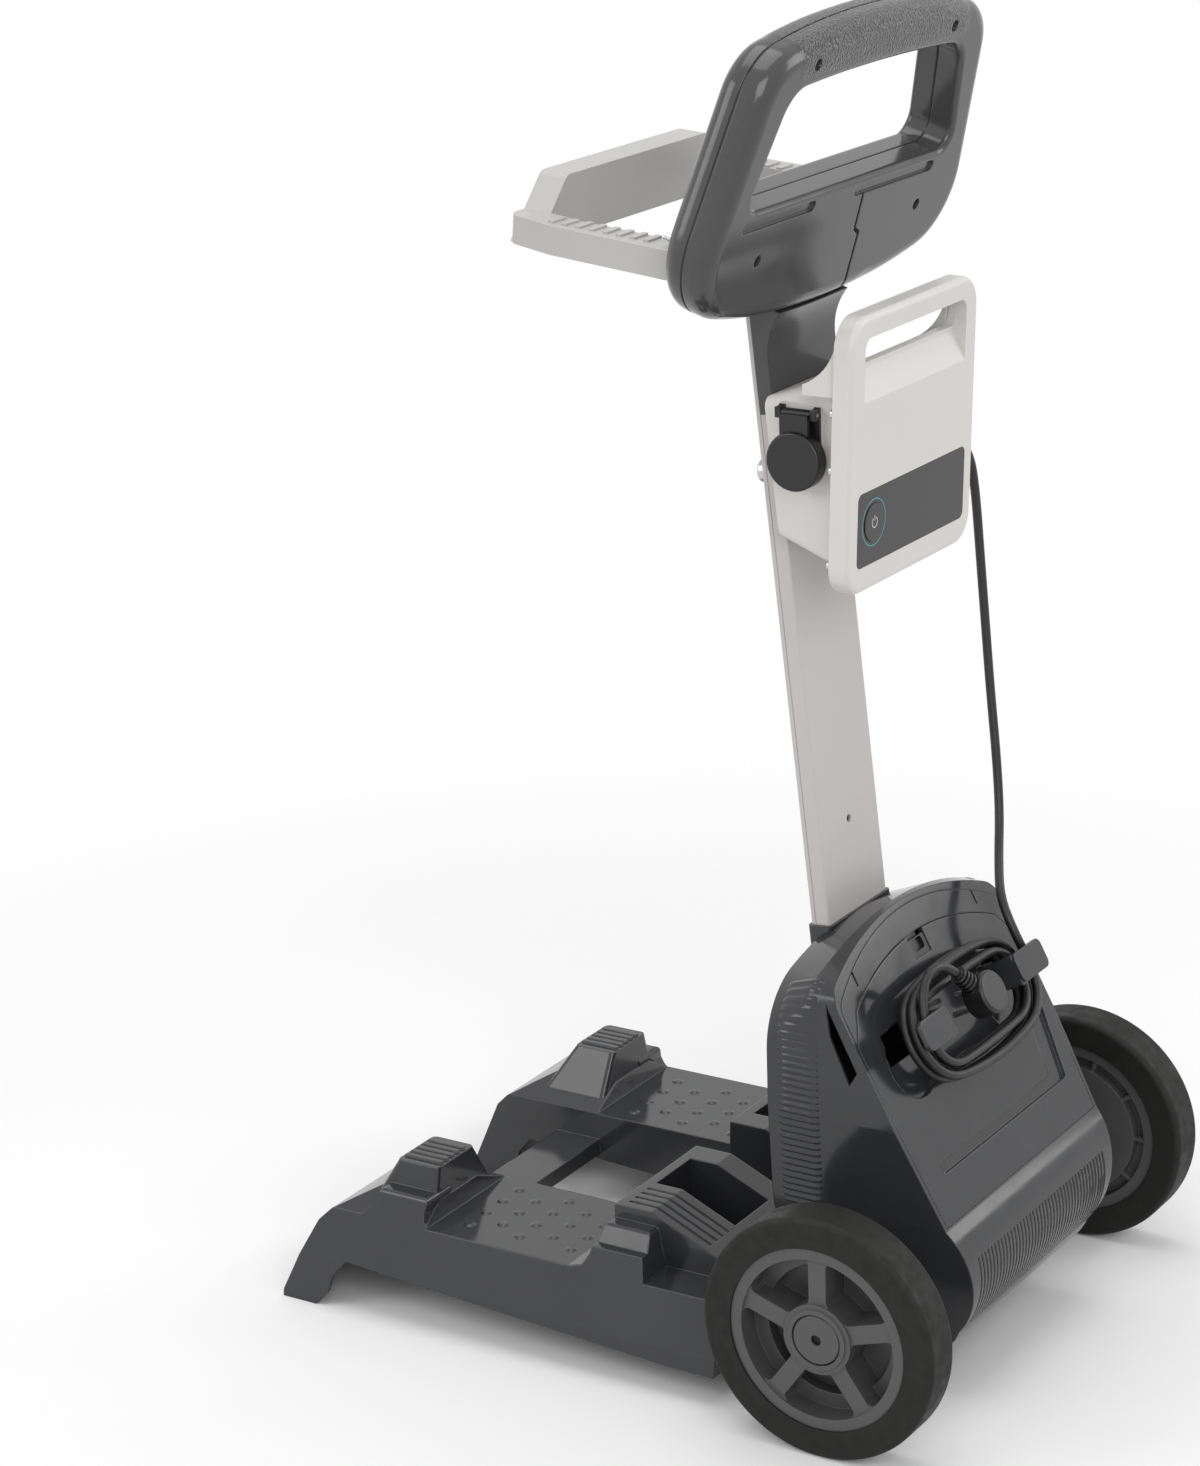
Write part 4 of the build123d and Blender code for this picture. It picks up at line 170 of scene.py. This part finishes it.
class CaddyRibs(bpy.types.PropertyGroup):
    """Sizes of the fine ribs on the housing's sides."""

    pitch: length("Pitch", "From one rib to the next", 0.0057)
    height: length("Height", "How far a rib stands off the side", 0.0010)
    start: length("Start", "Height of the lowest rib", 0.150)
    girth: length("Girth", "From the lowest rib up the side and over the shoulder", 0.190)
    front: length("Front", "Front ends of the ribs", 0.127)
    reach: length("Reach", "Length of a rib", 0.040)


class CaddyMarks(bpy.types.PropertyGroup):
    """Sizes of the marks on the control film."""

    ring: length("Ring radius", "Ring round the power button", 0.0182)
    line: length("Line width", "Width of the printed lines", 0.0008)
    sign: length("Sign radius", "Power sign on the button", 0.0040)


class CaddyStage(bpy.types.PropertyGroup):
    """The camera and the floor."""

    lens: FloatProperty(
        name="Lens",
        description="Focal length on a 24 mm high sensor",
        unit="CAMERA",
        default=62.532,
    )
    floor: length("Floor", "Side of the square floor", 3.2)
    roll: FloatProperty(
        name="Roll",
        description="Turn of the camera about its line of sight",
        subtype="ANGLE",
        default=-radians(2.0),
    )


def panel_point(x, up, out):
    return PANEL_FOOT + Vector((x, 0, 0)) + PANEL_UP * up + PANEL_OUT * out


def panel_way(x, up, out):
    return (Vector((x, 0, 0)) + PANEL_UP * up + PANEL_OUT * out).normalized()


def supply_frame():
    """Local x across the supply, y up its cover, z out of it."""
    up = Vector((0, sin(SUPPLY_LEAN), cos(SUPPLY_LEAN)))
    across = Vector((-1, 0, 0))
    out = across.cross(up)
    turn = Matrix((across, up, out)).transposed().to_4x4()
    return Matrix.Translation(SUPPLY_FOOT) @ turn


def add_piece(name, mesh_maker, body, finish):
    """One new mesh object at the origin, riding on a body of the frame."""
    shape = bmesh.new()
    mesh_maker(shape)
    mesh = bpy.data.meshes.new(name)
    shape.to_mesh(mesh)
    shape.free()
    piece = bpy.data.objects.new(name, mesh)
    bpy.context.scene.collection.objects.link(piece)
    mesh.materials.append(finish)
    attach(piece, body)


def begin_finish(name):
    material = bpy.data.materials.new(name)
    material.use_nodes = True
    tree = material.node_tree
    place = tree.nodes.new("ShaderNodeTexCoord").outputs["Object"]
    return material, tree, tree.nodes["Principled BSDF"], place


def grain(tree, place, scale, detail=3.0):
    noise = tree.nodes.new("ShaderNodeTexNoise")
    noise.inputs["Scale"].default_value = scale
    noise.inputs["Detail"].default_value = detail
    tree.links.new(place, noise.inputs["Vector"])
    return noise.outputs["Fac"]


def spread(tree, value, low, high, start=NOISE_SPAN[0], stop=NOISE_SPAN[1], smooth=False):
    reach = tree.nodes.new("ShaderNodeMapRange")
    if smooth:
        reach.interpolation_type = "SMOOTHSTEP"
    reach.inputs["From Min"].default_value = start
    reach.inputs["From Max"].default_value = stop
    reach.inputs["To Min"].default_value = low
    reach.inputs["To Max"].default_value = high
    tree.links.new(value, reach.inputs["Value"])
    return reach.outputs["Result"]


def shades(tree, value, base, depth):
    """A colour that wanders by depth either side of its base."""
    ramp = tree.nodes.new("ShaderNodeValToRGB")
    dark, pale = ramp.color_ramp.elements
    dark.position, pale.position = NOISE_SPAN
    dark.color = (*(part * (1 - depth) for part in base), 1)
    pale.color = (*(part * (1 + depth) for part in base), 1)
    tree.links.new(value, ramp.inputs["Fac"])
    return ramp.outputs["Color"]


def calc(tree, operation, first, second):
    node = tree.nodes.new("ShaderNodeMath")
    node.operation = operation
    for socket, value in zip(node.inputs, (first, second)):
        if isinstance(value, (int, float)):
            socket.default_value = value
        else:
            tree.links.new(value, socket)
    return node.outputs["Value"]


def relief(tree, height, distance, strength=1.0, under=None):
    bump = tree.nodes.new("ShaderNodeBump")
    bump.inputs["Distance"].default_value = distance
    bump.inputs["Strength"].default_value = strength
    tree.links.new(height, bump.inputs["Height"])
    if under is not None:
        tree.links.new(under, bump.inputs["Normal"])
    return bump.outputs["Normal"]


def wire(tree, shader, tone, dull, normal):
    """Link a finish's colour, roughness and normal to its shader."""
    tree.links.new(tone, shader.inputs["Base Color"])
    tree.links.new(dull, shader.inputs["Roughness"])
    tree.links.new(normal, shader.inputs["Normal"])


def moulded_skin(tree, place, base, gloss, depth, peel, peel_scale, edge):
    """Colour, roughness and faintly peeled normal of plastic, its edges rounded by edge."""
    tone = shades(tree, grain(tree, place, scale=9.0), base, depth)
    dull = spread(tree, grain(tree, place, scale=36.0), *gloss)
    soft = None
    if edge:
        rounding = tree.nodes.new("ShaderNodeBevel")
        rounding.samples = 6
        rounding.inputs["Radius"].default_value = edge
        soft = rounding.outputs["Normal"]
    bumps = grain(tree, place, peel_scale, detail=2.0)
    return tone, dull, relief(tree, bumps, peel, strength=0.6, under=soft)


def moulded(name, base, gloss, depth=SHADE_DEPTH, peel=PEEL, peel_scale=PEEL_SCALE, edge=0.0):
    """Moulded plastic with a faint peel."""
    material, tree, shader, place = begin_finish(name)
    skin = moulded_skin(tree, place, base, gloss, depth, peel, peel_scale, edge)
    wire(tree, shader, *skin)
    return material


def handle_plastic(base, gloss, edge):
    """Moulded plastic with a fine stipple along the grip."""
    material, tree, shader, place = begin_finish("handle plastic")
    tone, dull, skin = moulded_skin(
        tree, place, base, gloss, SHADE_DEPTH, PEEL, PEEL_SCALE, edge
    )
    axes = tree.nodes.new("ShaderNodeSeparateXYZ")
    tree.links.new(place, axes.inputs["Vector"])
    across = calc(tree, "ABSOLUTE", axes.outputs["X"], 0.0)
    above = spread(tree, axes.outputs["Z"], 0, 1, *GRIP_Z, smooth=True)
    between = spread(tree, across, 1, 0, *GRIP_X, smooth=True)
    grip = calc(tree, "MULTIPLY", above, between)
    cells = tree.nodes.new("ShaderNodeTexVoronoi")
    cells.inputs["Scale"].default_value = STIPPLE_SCALE
    tree.links.new(place, cells.inputs["Vector"])
    stipple = calc(tree, "MULTIPLY", cells.outputs["Distance"], grip)
    wire(tree, shader, tone, dull, relief(tree, stipple, STIPPLE_DEPTH, under=skin))
    return material


def tyre_rubber(base):
    material, tree, shader, place = begin_finish("tyre rubber")
    shader.inputs["Specular IOR Level"].default_value = 0.3
    tone = shades(tree, grain(tree, place, scale=60.0, detail=6.0), base, depth=0.12)
    dull = spread(tree, grain(tree, place, scale=90.0), low=0.52, high=0.74)
    rough = relief(tree, grain(tree, place, scale=900.0, detail=4.0), distance=0.0001)
    wire(tree, shader, tone, dull, rough)
    return material


def brushed(name, base, gloss):
    """Drawn or turned metal."""
    material, tree, shader, place = begin_finish(name)
    shader.inputs["Metallic"].default_value = 1.0
    tone = shades(tree, grain(tree, place, scale=40.0), base, depth=0.05)
    dull = spread(tree, grain(tree, place, scale=700.0), *gloss)
    rough = relief(tree, grain(tree, place, scale=1500.0, detail=2.0), distance=0.00001)
    wire(tree, shader, tone, dull, rough)
    return material


def cord_jacket(base):
    material, tree, shader, place = begin_finish("cord jacket")
    tone = shades(tree, grain(tree, place, scale=120.0), base, depth=0.2)
    dull = spread(tree, grain(tree, place, scale=250.0), low=0.36, high=0.5)
    rough = relief(tree, grain(tree, place, scale=1200.0, detail=3.0), distance=0.00005)
    wire(tree, shader, tone, dull, rough)
    return material


def floor_white():
    """Pale floor that keeps the shadow and fades out round it."""
    material, tree, shader, place = begin_finish("floor white")
    shader.inputs["Roughness"].default_value = 0.9
    shader.inputs["Specular IOR Level"].default_value = 0.1
    tone = shades(tree, grain(tree, place, scale=3.0), FLOOR_WHITE, depth=0.004)
    tree.links.new(tone, shader.inputs["Base Color"])
    reach = tree.nodes.new("ShaderNodeVectorMath")
    reach.operation = "LENGTH"
    tree.links.new(place, reach.inputs[0])
    away = spread(tree, reach.outputs["Value"], 0, 1, *FLOOR_FADE, smooth=True)
    clear = tree.nodes.new("ShaderNodeBsdfTransparent")
    blend = tree.nodes.new("ShaderNodeMixShader")
    tree.links.new(away, blend.inputs["Fac"])
    tree.links.new(shader.outputs["BSDF"], blend.inputs[1])
    tree.links.new(clear.outputs["BSDF"], blend.inputs[2])
    tree.links.new(blend.outputs["Shader"], tree.nodes["Material Output"].inputs["Surface"])
    return material


def finish_nodes(finish, *names):
    for name in names:
        mesh = NODES[name].data
        mesh.materials.clear()
        mesh.materials.append(finish)


def arc_points(start, way, stop, count):
    """Points on the arc that leaves start along way and reaches stop, without start itself."""
    chord = stop - start
    aside = chord - way * chord.dot(way)
    if aside.length < STRAIGHT:
        return [start + chord * (step / count) for step in range(1, count + 1)], way.copy()
    radius = chord.length_squared / (2 * aside.length)
    inward = aside.normalized()
    turn = 2 * atan2(aside.length, chord.dot(way))
    points = []
    for step in range(1, count + 1):
        angle = turn * step / count
        points.append(start + way * radius * sin(angle) + inward * radius * (1 - cos(angle)))
    return points, way * cos(turn) + inward * sin(turn)


def bend_between(start, way, stop, stop_way, count):
    """Two arcs that leave start along way and reach stop along stop_way."""
    chord, both = stop - start, way + stop_way
    short = 2 * (1 - way.dot(stop_way))
    root = (chord.dot(both) ** 2 + short * chord.length_squared) ** 0.5
    reach = (-chord.dot(both) + root) / short
    middle = (start + stop + (way - stop_way) * reach) / 2
    first, middle_way = arc_points(start, way, middle, count)
    second, _ = arc_points(middle, middle_way, stop, count)
    return first + second


class CADDY_OT_camera(bpy.types.Operator):
    """Set up the camera from behind the caddy's near wheel"""

    bl_idname = "caddy.camera"
    bl_label = "Camera"

    def execute(self, context):
        stage = context.scene.caddy_stage
        data = bpy.data.cameras.new("camera")
        data.sensor_fit = "VERTICAL"
        data.sensor_height = SENSOR_HEIGHT
        data.lens = stage.lens
        camera = bpy.data.objects.new("camera", data)
        context.scene.collection.objects.link(camera)
        back = (CAMERA_SPOT - CAMERA_AIM).normalized()
        level = Vector((0, 0, 1)).cross(back).normalized()
        rise = back.cross(level)
        right = level * cos(stage.roll) + rise * sin(stage.roll)
        up = back.cross(right)
        turn = Matrix((right, up, back)).transposed().to_4x4()
        camera.matrix_world = Matrix.Translation(CAMERA_SPOT) @ turn
        context.scene.camera = camera
        return {"FINISHED"}


class CADDY_OT_cord(bpy.types.Operator):
    """Hang the cord from the supply and wind it on the two hooks"""

    bl_idname = "caddy.cord"
    bl_label = "Cord"

    def execute(self, context):
        sizes = context.scene.caddy_cord
        route = [
            Vector((-0.112, 0.138, 0.715)),
            Vector((-0.145, 0.138, 0.715)),
            Vector((-0.169, 0.140, 0.693)),
            Vector((-0.173, 0.143, 0.660)),
            Vector((-0.173, 0.147, 0.608)),
            Vector((-0.170, 0.153, 0.553)),
            Vector((-0.165, 0.160, 0.497)),
            Vector((-0.158, 0.169, 0.444)),
            Vector((-0.150, 0.176, 0.398)),
            Vector((-0.128, 0.186, 0.366)),
            Vector((-0.098, 0.202, 0.346)),
            panel_point(-0.090, 0.174, 0.0285),
            panel_point(-0.093, 0.1512, 0.027),
        ]
        stops = self.coil_stops(sizes)
        plug_way = panel_way(-0.66, -0.75, 0)
        relief_start = panel_point(0.027, 0.170, 0.038)
        stops.append((relief_start - plug_way * sizes.diameter, plug_way))
        route.append(stops[0][0])
        for (start, way), (stop, stop_way) in zip(stops, stops[1:]):
            route += bend_between(start, way, stop, stop_way, BEND_POINTS)
        route.append(relief_start - plug_way * CORD_END_GAP)
        line = self.spline(route)
        path, run = self.centreline(line)
        tube = self.tube(line, sizes.diameter)
        bpy.data.objects.remove(line)
        tube.data.materials.append(cord_jacket(context.scene.caddy_colours.cord))
        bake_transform(tube)
        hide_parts("cord_drop", "cord_coil")
        return {"FINISHED"}

    @staticmethod
    def coil_stops(sizes):
        """Quarter points of the outer and inner turns, each with the cord's direction there."""
        quarters = 4 * sizes.turns
        slope = sizes.pitch / (OVAL_LENGTH * (sizes.half_width + sizes.half_height))
        deepest = COIL_OUT - sizes.turns * sizes.pitch
        stops = []
        for quarter in range(2 * quarters + 3):
            step = min(max(quarter - quarters, 0), 2) / 2
            half_width = sizes.half_width - sizes.layer_width * step
            half_height = sizes.half_height - sizes.layer_height * step
            if quarter <= quarters:
                out, rise = COIL_OUT - sizes.pitch * quarter / 4, -slope
            elif quarter <= quarters + 2:
                out, rise = deepest - (COIL_DIP if quarter == quarters + 1 else 0.0), 0.0
            else:
                out, rise = deepest + sizes.pitch * (quarter - quarters - 2) / 4, slope
            if quarter in (quarters, quarters + 2):
                rise = 0.0
            along = ((-1, 0), (0, -1), (1, 0), (0, 1))[quarter % 4]
            heading = ((0, -1), (1, 0), (0, 1), (-1, 0))[quarter % 4]
            height = COIL_MIDDLE + along[1] * half_height
            spot = panel_point(along[0] * half_width, height, out)
            stops.append((spot, panel_way(heading[0], heading[1], rise)))
        return stops

    @staticmethod
    def spline(route):
        curve = bpy.data.curves.new("cord line", "CURVE")
        curve.dimensions = "3D"
        curve.resolution_u = 6
        line = curve.splines.new("NURBS")
        line.points.add(len(route) - 1)
        for point, spot in zip(line.points, route):
            point.co = (*spot, 1)
        line.order_u = 3
        line.use_endpoint_u = True
        piece = bpy.data.objects.new("cord line", curve)
        bpy.context.scene.collection.objects.link(piece)
        return piece

    @staticmethod
    def centreline(line):
        mesh = bpy.data.meshes.new_from_object(line)
        path = [vertex.co.copy() for vertex in mesh.vertices]
        bpy.data.meshes.remove(mesh)
        return path, sum((b - a).length for a, b in zip(path, path[1:]))

    @staticmethod
    def tube(line, diameter):
        line.data.bevel_depth = diameter / 2
        line.data.bevel_resolution = 4
        line.data.use_fill_caps = True
        mesh = bpy.data.meshes.new_from_object(line)
        mesh.name = "cord"
        mesh.materials.clear()
        for polygon in mesh.polygons:
            polygon.use_smooth = True
        piece = bpy.data.objects.new("cord", mesh)
        bpy.context.scene.collection.objects.link(piece)
        return piece


class CADDY_OT_finishes(bpy.types.Operator):
    """Give every solid of the frame its finish"""

    bl_idname = "caddy.finishes"
    bl_label = "Finishes"

    def execute(self, context):
        tones = context.scene.caddy_colours
        self.plastics(tones)
        self.metals(tones)
        finish_nodes(tyre_rubber(tones.rubber), "left_wheel_tyre", "right_wheel_tyre")
        finish_nodes(cord_jacket(tones.cord), "cord_drop", "cord_coil")
        return {"FINISHED"}

    @staticmethod
    def plastics(tones):
        finish_nodes(
            moulded("slate plastic", tones.slate, SLATE_GLOSS, edge=SHELL_EDGE),
            "housing_shell", "platform", "rear_cover", "rear_panel", "post_collar",
        )
        finish_nodes(
            handle_plastic(tones.handle, HANDLE_GLOSS, SHELL_EDGE),
            "handle_rear_shell", "handle_front_shell",
        )
        finish_nodes(
            moulded("grey rim plastic", tones.rim, SATIN_GLOSS, edge=RIM_EDGE),
            "left_wheel_rim", "right_wheel_rim", "axle_cap_left", "axle_cap_right",
        )
        finish_nodes(
            moulded("black plastic", tones.black, SATIN_GLOSS, depth=0.12),
            "panel_latch", "axle_bush_left", "axle_bush_right", "axle_spacer_left",
            "axle_spacer_right", "left_wheel_bush", "right_wheel_bush", "output_socket",
            "socket_cap", "cord_gland", "plug_strain_relief", "plug_body", "button_switch",
            "supply_seal", "capacitors",
        )
        finish_nodes(
            moulded(
                "post coat",
                tones.post,
                gloss=(0.30, 0.38),
                depth=0.02,
                peel=0.00002,
                peel_scale=900.0,
            ),
            "post",
        )
        finish_nodes(
            moulded("grey cradle plastic", tones.cradle, gloss=(0.36, 0.46), depth=0.03),
            "cable_cradle",
        )
        finish_nodes(
            moulded("white supply plastic", tones.supply, gloss=(0.28, 0.38), depth=0.015),
            "supply_front_cover", "supply_rear_case",
        )
        finish_nodes(
            moulded("control film", tones.film, gloss=(0.12, 0.18), depth=0.04),
            "control_panel", "power_button",
        )
        finish_nodes(moulded("board green", BOARD_GREEN, gloss=(0.4, 0.5)), "circuit_board")

    @staticmethod
    def metals(tones):
        finish_nodes(brushed("blackened steel", BLACKENED, gloss=(0.4, 0.5)), "axle")
        finish_nodes(
            brushed("steel", tones.steel, gloss=(0.22, 0.36)),
            "platform_screws", "post_bolts", "post_nuts", "handle_screws", "cradle_screws",
            "supply_rail", "rail_bolts", "supply_screws", "cap_hinge_pin", "heat_sink",
            "plug_pins",
        )
        finish_nodes(brushed("brass", BRASS, gloss=(0.2, 0.32)), "socket_pins")
        finish_nodes(brushed("copper winding", COPPER, gloss=(0.3, 0.42)), "transformer")


class CADDY_OT_ribs(bpy.types.Operator):
    """Lay the fine ribs on the housing's sides"""

    bl_idname = "caddy.ribs"
    bl_label = "Ribs"

    # the side is upright up to the shoulder, which is taken as round
    shoulder_x, shoulder_z, shoulder_r = 0.075, 0.270, 0.066
    # off the side: the troughs between ribs, the rim of the sheet, and where rays start
    trough, sunk, outside = -0.0001, -0.0006, 0.2
    # the sheet's back, inward and downward of its front
    back_in, back_down = 0.0008, 0.0004
    # shares of the ribs' length and of the girth over which the sheet rises from its rim
    end_fade, edge_fade = 1 / 8, 1 / 32
    steps_along, steps_per_rib = 10, 8

    def execute(self, context):
        sizes = context.scene.caddy_ribs
        skin = NODES["housing_shell"].data
        spots = [vertex.co for vertex in skin.vertices]
        wall = BVHTree.FromPolygons(spots, [polygon.vertices for polygon in skin.polygons])
        slate = moulded("ribbed slate plastic", context.scene.caddy_colours.slate, SLATE_GLOSS)

        def left(shape):
            self.sheet(shape, sizes, wall, 1)

        def right(shape):
            self.sheet(shape, sizes, wall, -1)

        add_piece("housing_ribs_left", left, "chassis", slate)
        add_piece("housing_ribs_right", right, "chassis", slate)
        return {"FINISHED"}

    @staticmethod
    def fade(share, part):
        """0 at both ends of a span, and 1 between its first and last part."""
        return min(1.0, share / part, (1 - share) / part)

    def sheet(self, shape, sizes, wall, side):
        """A thin waved sheet on the wall of one side, sunk in it at its rim."""
        rows = self.steps_per_rib * round(sizes.girth / sizes.pitch)
        bmesh.ops.create_grid(shape, x_segments=self.steps_along, y_segments=rows, size=0.5)
        for vert in shape.verts:
            along, up = vert.co.x + 0.5, vert.co.y + 0.5
            girth = sizes.start + up * sizes.girth
            turn = max(0.0, girth - self.shoulder_z) / self.shoulder_r
            way = Vector((side * cos(turn), 0, sin(turn)))
            place = sizes.front + along * sizes.reach
            start = Vector((side * self.shoulder_x, place, min(girth, self.shoulder_z)))
            spot = wall.ray_cast(start + way * self.outside, -way)[0]
            wave = (1 + sin(FULL_TURN * girth / sizes.pitch)) / 2
            crest = self.trough + (sizes.height - self.trough) * wave
            share = self.fade(along, self.end_fade) * self.fade(up, self.edge_fade)
            vert.co = spot + way * (self.sunk + (crest - self.sunk) * share)
        back = bmesh.ops.extrude_face_region(shape, geom=shape.faces[:])["geom"]
        inner = [item for item in back if isinstance(item, bmesh.types.BMVert)]
        inward = (-side * self.back_in, 0, -self.back_down)
        bmesh.ops.translate(shape, vec=inward, verts=inner)
        bmesh.ops.recalc_face_normals(shape, faces=shape.faces)
        for face in shape.faces:
            face.smooth = True


class CADDY_OT_marks(bpy.types.Operator):
    """Print the ring and the power sign on the control film"""

    bl_idname = "caddy.marks"
    bl_label = "Marks"

    # the print's half thickness, and how far the button's face stands out of the film
    half_thick, button_face = 0.00012, 0.0008
    # where the sign's open ring starts, and how far it goes round
    sign_start, sign_turn = radians(125), radians(290)
    # the bar's middle and length, as shares of the sign's radius
    bar_middle, bar_length = 0.8, 1.1
    ring_steps = 72

    def execute(self, context):
        sizes = context.scene.caddy_marks
        mark = moulded("teal print", context.scene.caddy_colours.mark, PRINT_GLOSS)
        light = moulded("pale print", PALE_PRINT, PRINT_GLOSS)

        def ring(shape):
            self.flat_ring(shape, sizes.ring, sizes.line, 0.0, 0.0, FULL_TURN)
            self.onto_cover(shape)

        def sign(shape):
            self.flat_ring(
                shape, sizes.sign, sizes.line, self.button_face, self.sign_start, self.sign_turn
            )
            bmesh.ops.holes_fill(shape, edges=shape.edges)
            bar = Matrix.Translation((0, self.button_face, sizes.sign * self.bar_middle))
            length_up = sizes.sign * self.bar_length
            bar @= Matrix.Diagonal((sizes.line, 2 * self.half_thick, length_up, 1))
            bmesh.ops.create_cube(shape, size=1.0, matrix=bar)
            bmesh.ops.recalc_face_normals(shape, faces=shape.faces)
            self.onto_cover(shape)

        add_piece("button_ring", ring, "power_supply", mark)
        add_piece("button_sign", sign, "power_button_body", light)
        return {"FINISHED"}

    def flat_ring(self, shape, radius, line, front, start, turn):
        """A thin printed line round the button's axis."""
        centre = (0, 0, 0)
        first = Matrix.Rotation(-start, 3, "Y")
        bmesh.ops.create_grid(shape, x_segments=1, y_segments=1, size=1.0)
        bmesh.ops.scale(shape, vec=(line / 2, self.half_thick, 1), verts=shape.verts)
        bmesh.ops.translate(shape, vec=(radius, front, 0), verts=shape.verts)
        bmesh.ops.rotate(shape, cent=centre, matrix=first, verts=shape.verts)
        bmesh.ops.spin(
            shape,
            geom=shape.verts[:] + shape.edges[:] + shape.faces[:],
            cent=centre,
            axis=(0, -1, 0),
            angle=turn,
            steps=self.ring_steps,
            use_merge=turn >= FULL_TURN,
            use_duplicate=False,
        )
        bmesh.ops.remove_doubles(shape, verts=shape.verts, dist=1e-6)
        bmesh.ops.recalc_face_normals(shape, faces=shape.faces)

    @staticmethod
    def onto_cover(shape):
        lean = Matrix.Rotation(-SUPPLY_LEAN, 3, "X")
        bmesh.ops.rotate(shape, cent=(0, 0, 0), matrix=lean, verts=shape.verts)
        bmesh.ops.translate(shape, vec=supply_frame() @ BUTTON_SPOT, verts=shape.verts)


class CADDY_OT_stage(bpy.types.Operator):
    """Lay the pale floor and set the studio lights"""

    bl_idname = "caddy.stage"
    bl_label = "Stage"

    def execute(self, context):
        scene = context.scene
        scene.view_settings.view_transform = "Standard"
        shape = bmesh.new()
        half_side = scene.caddy_stage.floor / 2
        bmesh.ops.create_grid(shape, x_segments=1, y_segments=1, size=half_side)
        mesh = bpy.data.meshes.new("floor")
        shape.to_mesh(mesh)
        shape.free()
        floor = bpy.data.objects.new("floor", mesh)
        scene.collection.objects.link(floor)
        floor.data.materials.append(floor_white())
        self.world(scene)
        for name, spot, size, power in LAMPS:
            self.lamp(name, spot, size, power)
        return {"FINISHED"}

    @staticmethod
    def world(scene):
        """White where the camera or a reflection sees it, and plain soft light everywhere."""
        world = bpy.data.worlds.new("studio")
        scene.world = world
        world.use_nodes = True
        tree = world.node_tree
        light = tree.nodes["Background"]
        light.inputs["Color"].default_value = (1, 1, 1, 1)
        light.inputs["Strength"].default_value = WORLD_LIGHT
        backdrop = tree.nodes.new("ShaderNodeBackground")
        backdrop.inputs["Color"].default_value = (1, 1, 1, 1)
        ray = tree.nodes.new("ShaderNodeLightPath")
        blend = tree.nodes.new("ShaderNodeMixShader")
        glossy, through = ray.outputs["Is Glossy Ray"], ray.outputs["Is Transmission Ray"]
        mirrored = calc(tree, "MAXIMUM", glossy, through)
        seen = calc(tree, "MAXIMUM", ray.outputs["Is Camera Ray"], mirrored)
        tree.links.new(seen, blend.inputs["Fac"])
        tree.links.new(light.outputs["Background"], blend.inputs[1])
        tree.links.new(backdrop.outputs["Background"], blend.inputs[2])
        tree.links.new(blend.outputs["Shader"], tree.nodes["World Output"].inputs["Surface"])

    @staticmethod
    def lamp(name, spot, size, power):
        data = bpy.data.lights.new(name, "AREA")
        data.size = size
        data.energy = power
        lamp = bpy.data.objects.new(name, data)
        bpy.context.scene.collection.objects.link(lamp)
        turn = (LAMP_AIM - Vector(spot)).to_track_quat("-Z", "Y").to_matrix().to_4x4()
        lamp.matrix_world = Matrix.Translation(spot) @ turn


class CADDY_PT_panel(bpy.types.Panel):
    """The caddy's sizes, colours and pieces"""

    bl_idname = "CADDY_PT_panel"
    bl_label = "Caddy"
    bl_space_type = "VIEW_3D"
    bl_region_type = "UI"
    bl_category = "Caddy"

    def draw(self, context):
        layout = self.layout
        for group_name in GROUPS:
            group = getattr(context.scene, group_name)
            box = layout.box()
            for name in group.bl_rna.properties.keys():
                if name not in ("rna_type", "name"):
                    box.prop(group, name)
        for operator in OPERATORS:
            layout.operator(operator.bl_idname)


GROUPS = {
    "caddy_colours": CaddyColours,
    "caddy_cord": CaddyCord,
    "caddy_ribs": CaddyRibs,
    "caddy_marks": CaddyMarks,
    "caddy_stage": CaddyStage,
}
OPERATORS = (
    CADDY_OT_camera,
    CADDY_OT_cord,
    CADDY_OT_finishes,
    CADDY_OT_ribs,
    CADDY_OT_marks,
    CADDY_OT_stage,
)


def register():
    for name, group in GROUPS.items():
        bpy.utils.register_class(group)
        setattr(bpy.types.Scene, name, PointerProperty(type=group))
    for operator in OPERATORS:
        bpy.utils.register_class(operator)
    bpy.utils.register_class(CADDY_PT_panel)


def unregister():
    bpy.utils.unregister_class(CADDY_PT_panel)
    for operator in reversed(OPERATORS):
        bpy.utils.unregister_class(operator)
    for name, group in reversed(list(GROUPS.items())):
        delattr(bpy.types.Scene, name)
        bpy.utils.unregister_class(group)


def main():
    register()
    bpy.ops.caddy.camera()
    bpy.ops.caddy.cord()
    bpy.ops.caddy.finishes()
    bpy.ops.caddy.ribs()
    bpy.ops.caddy.marks()
    bpy.ops.caddy.stage()


if __name__ == "__main__":
    main()
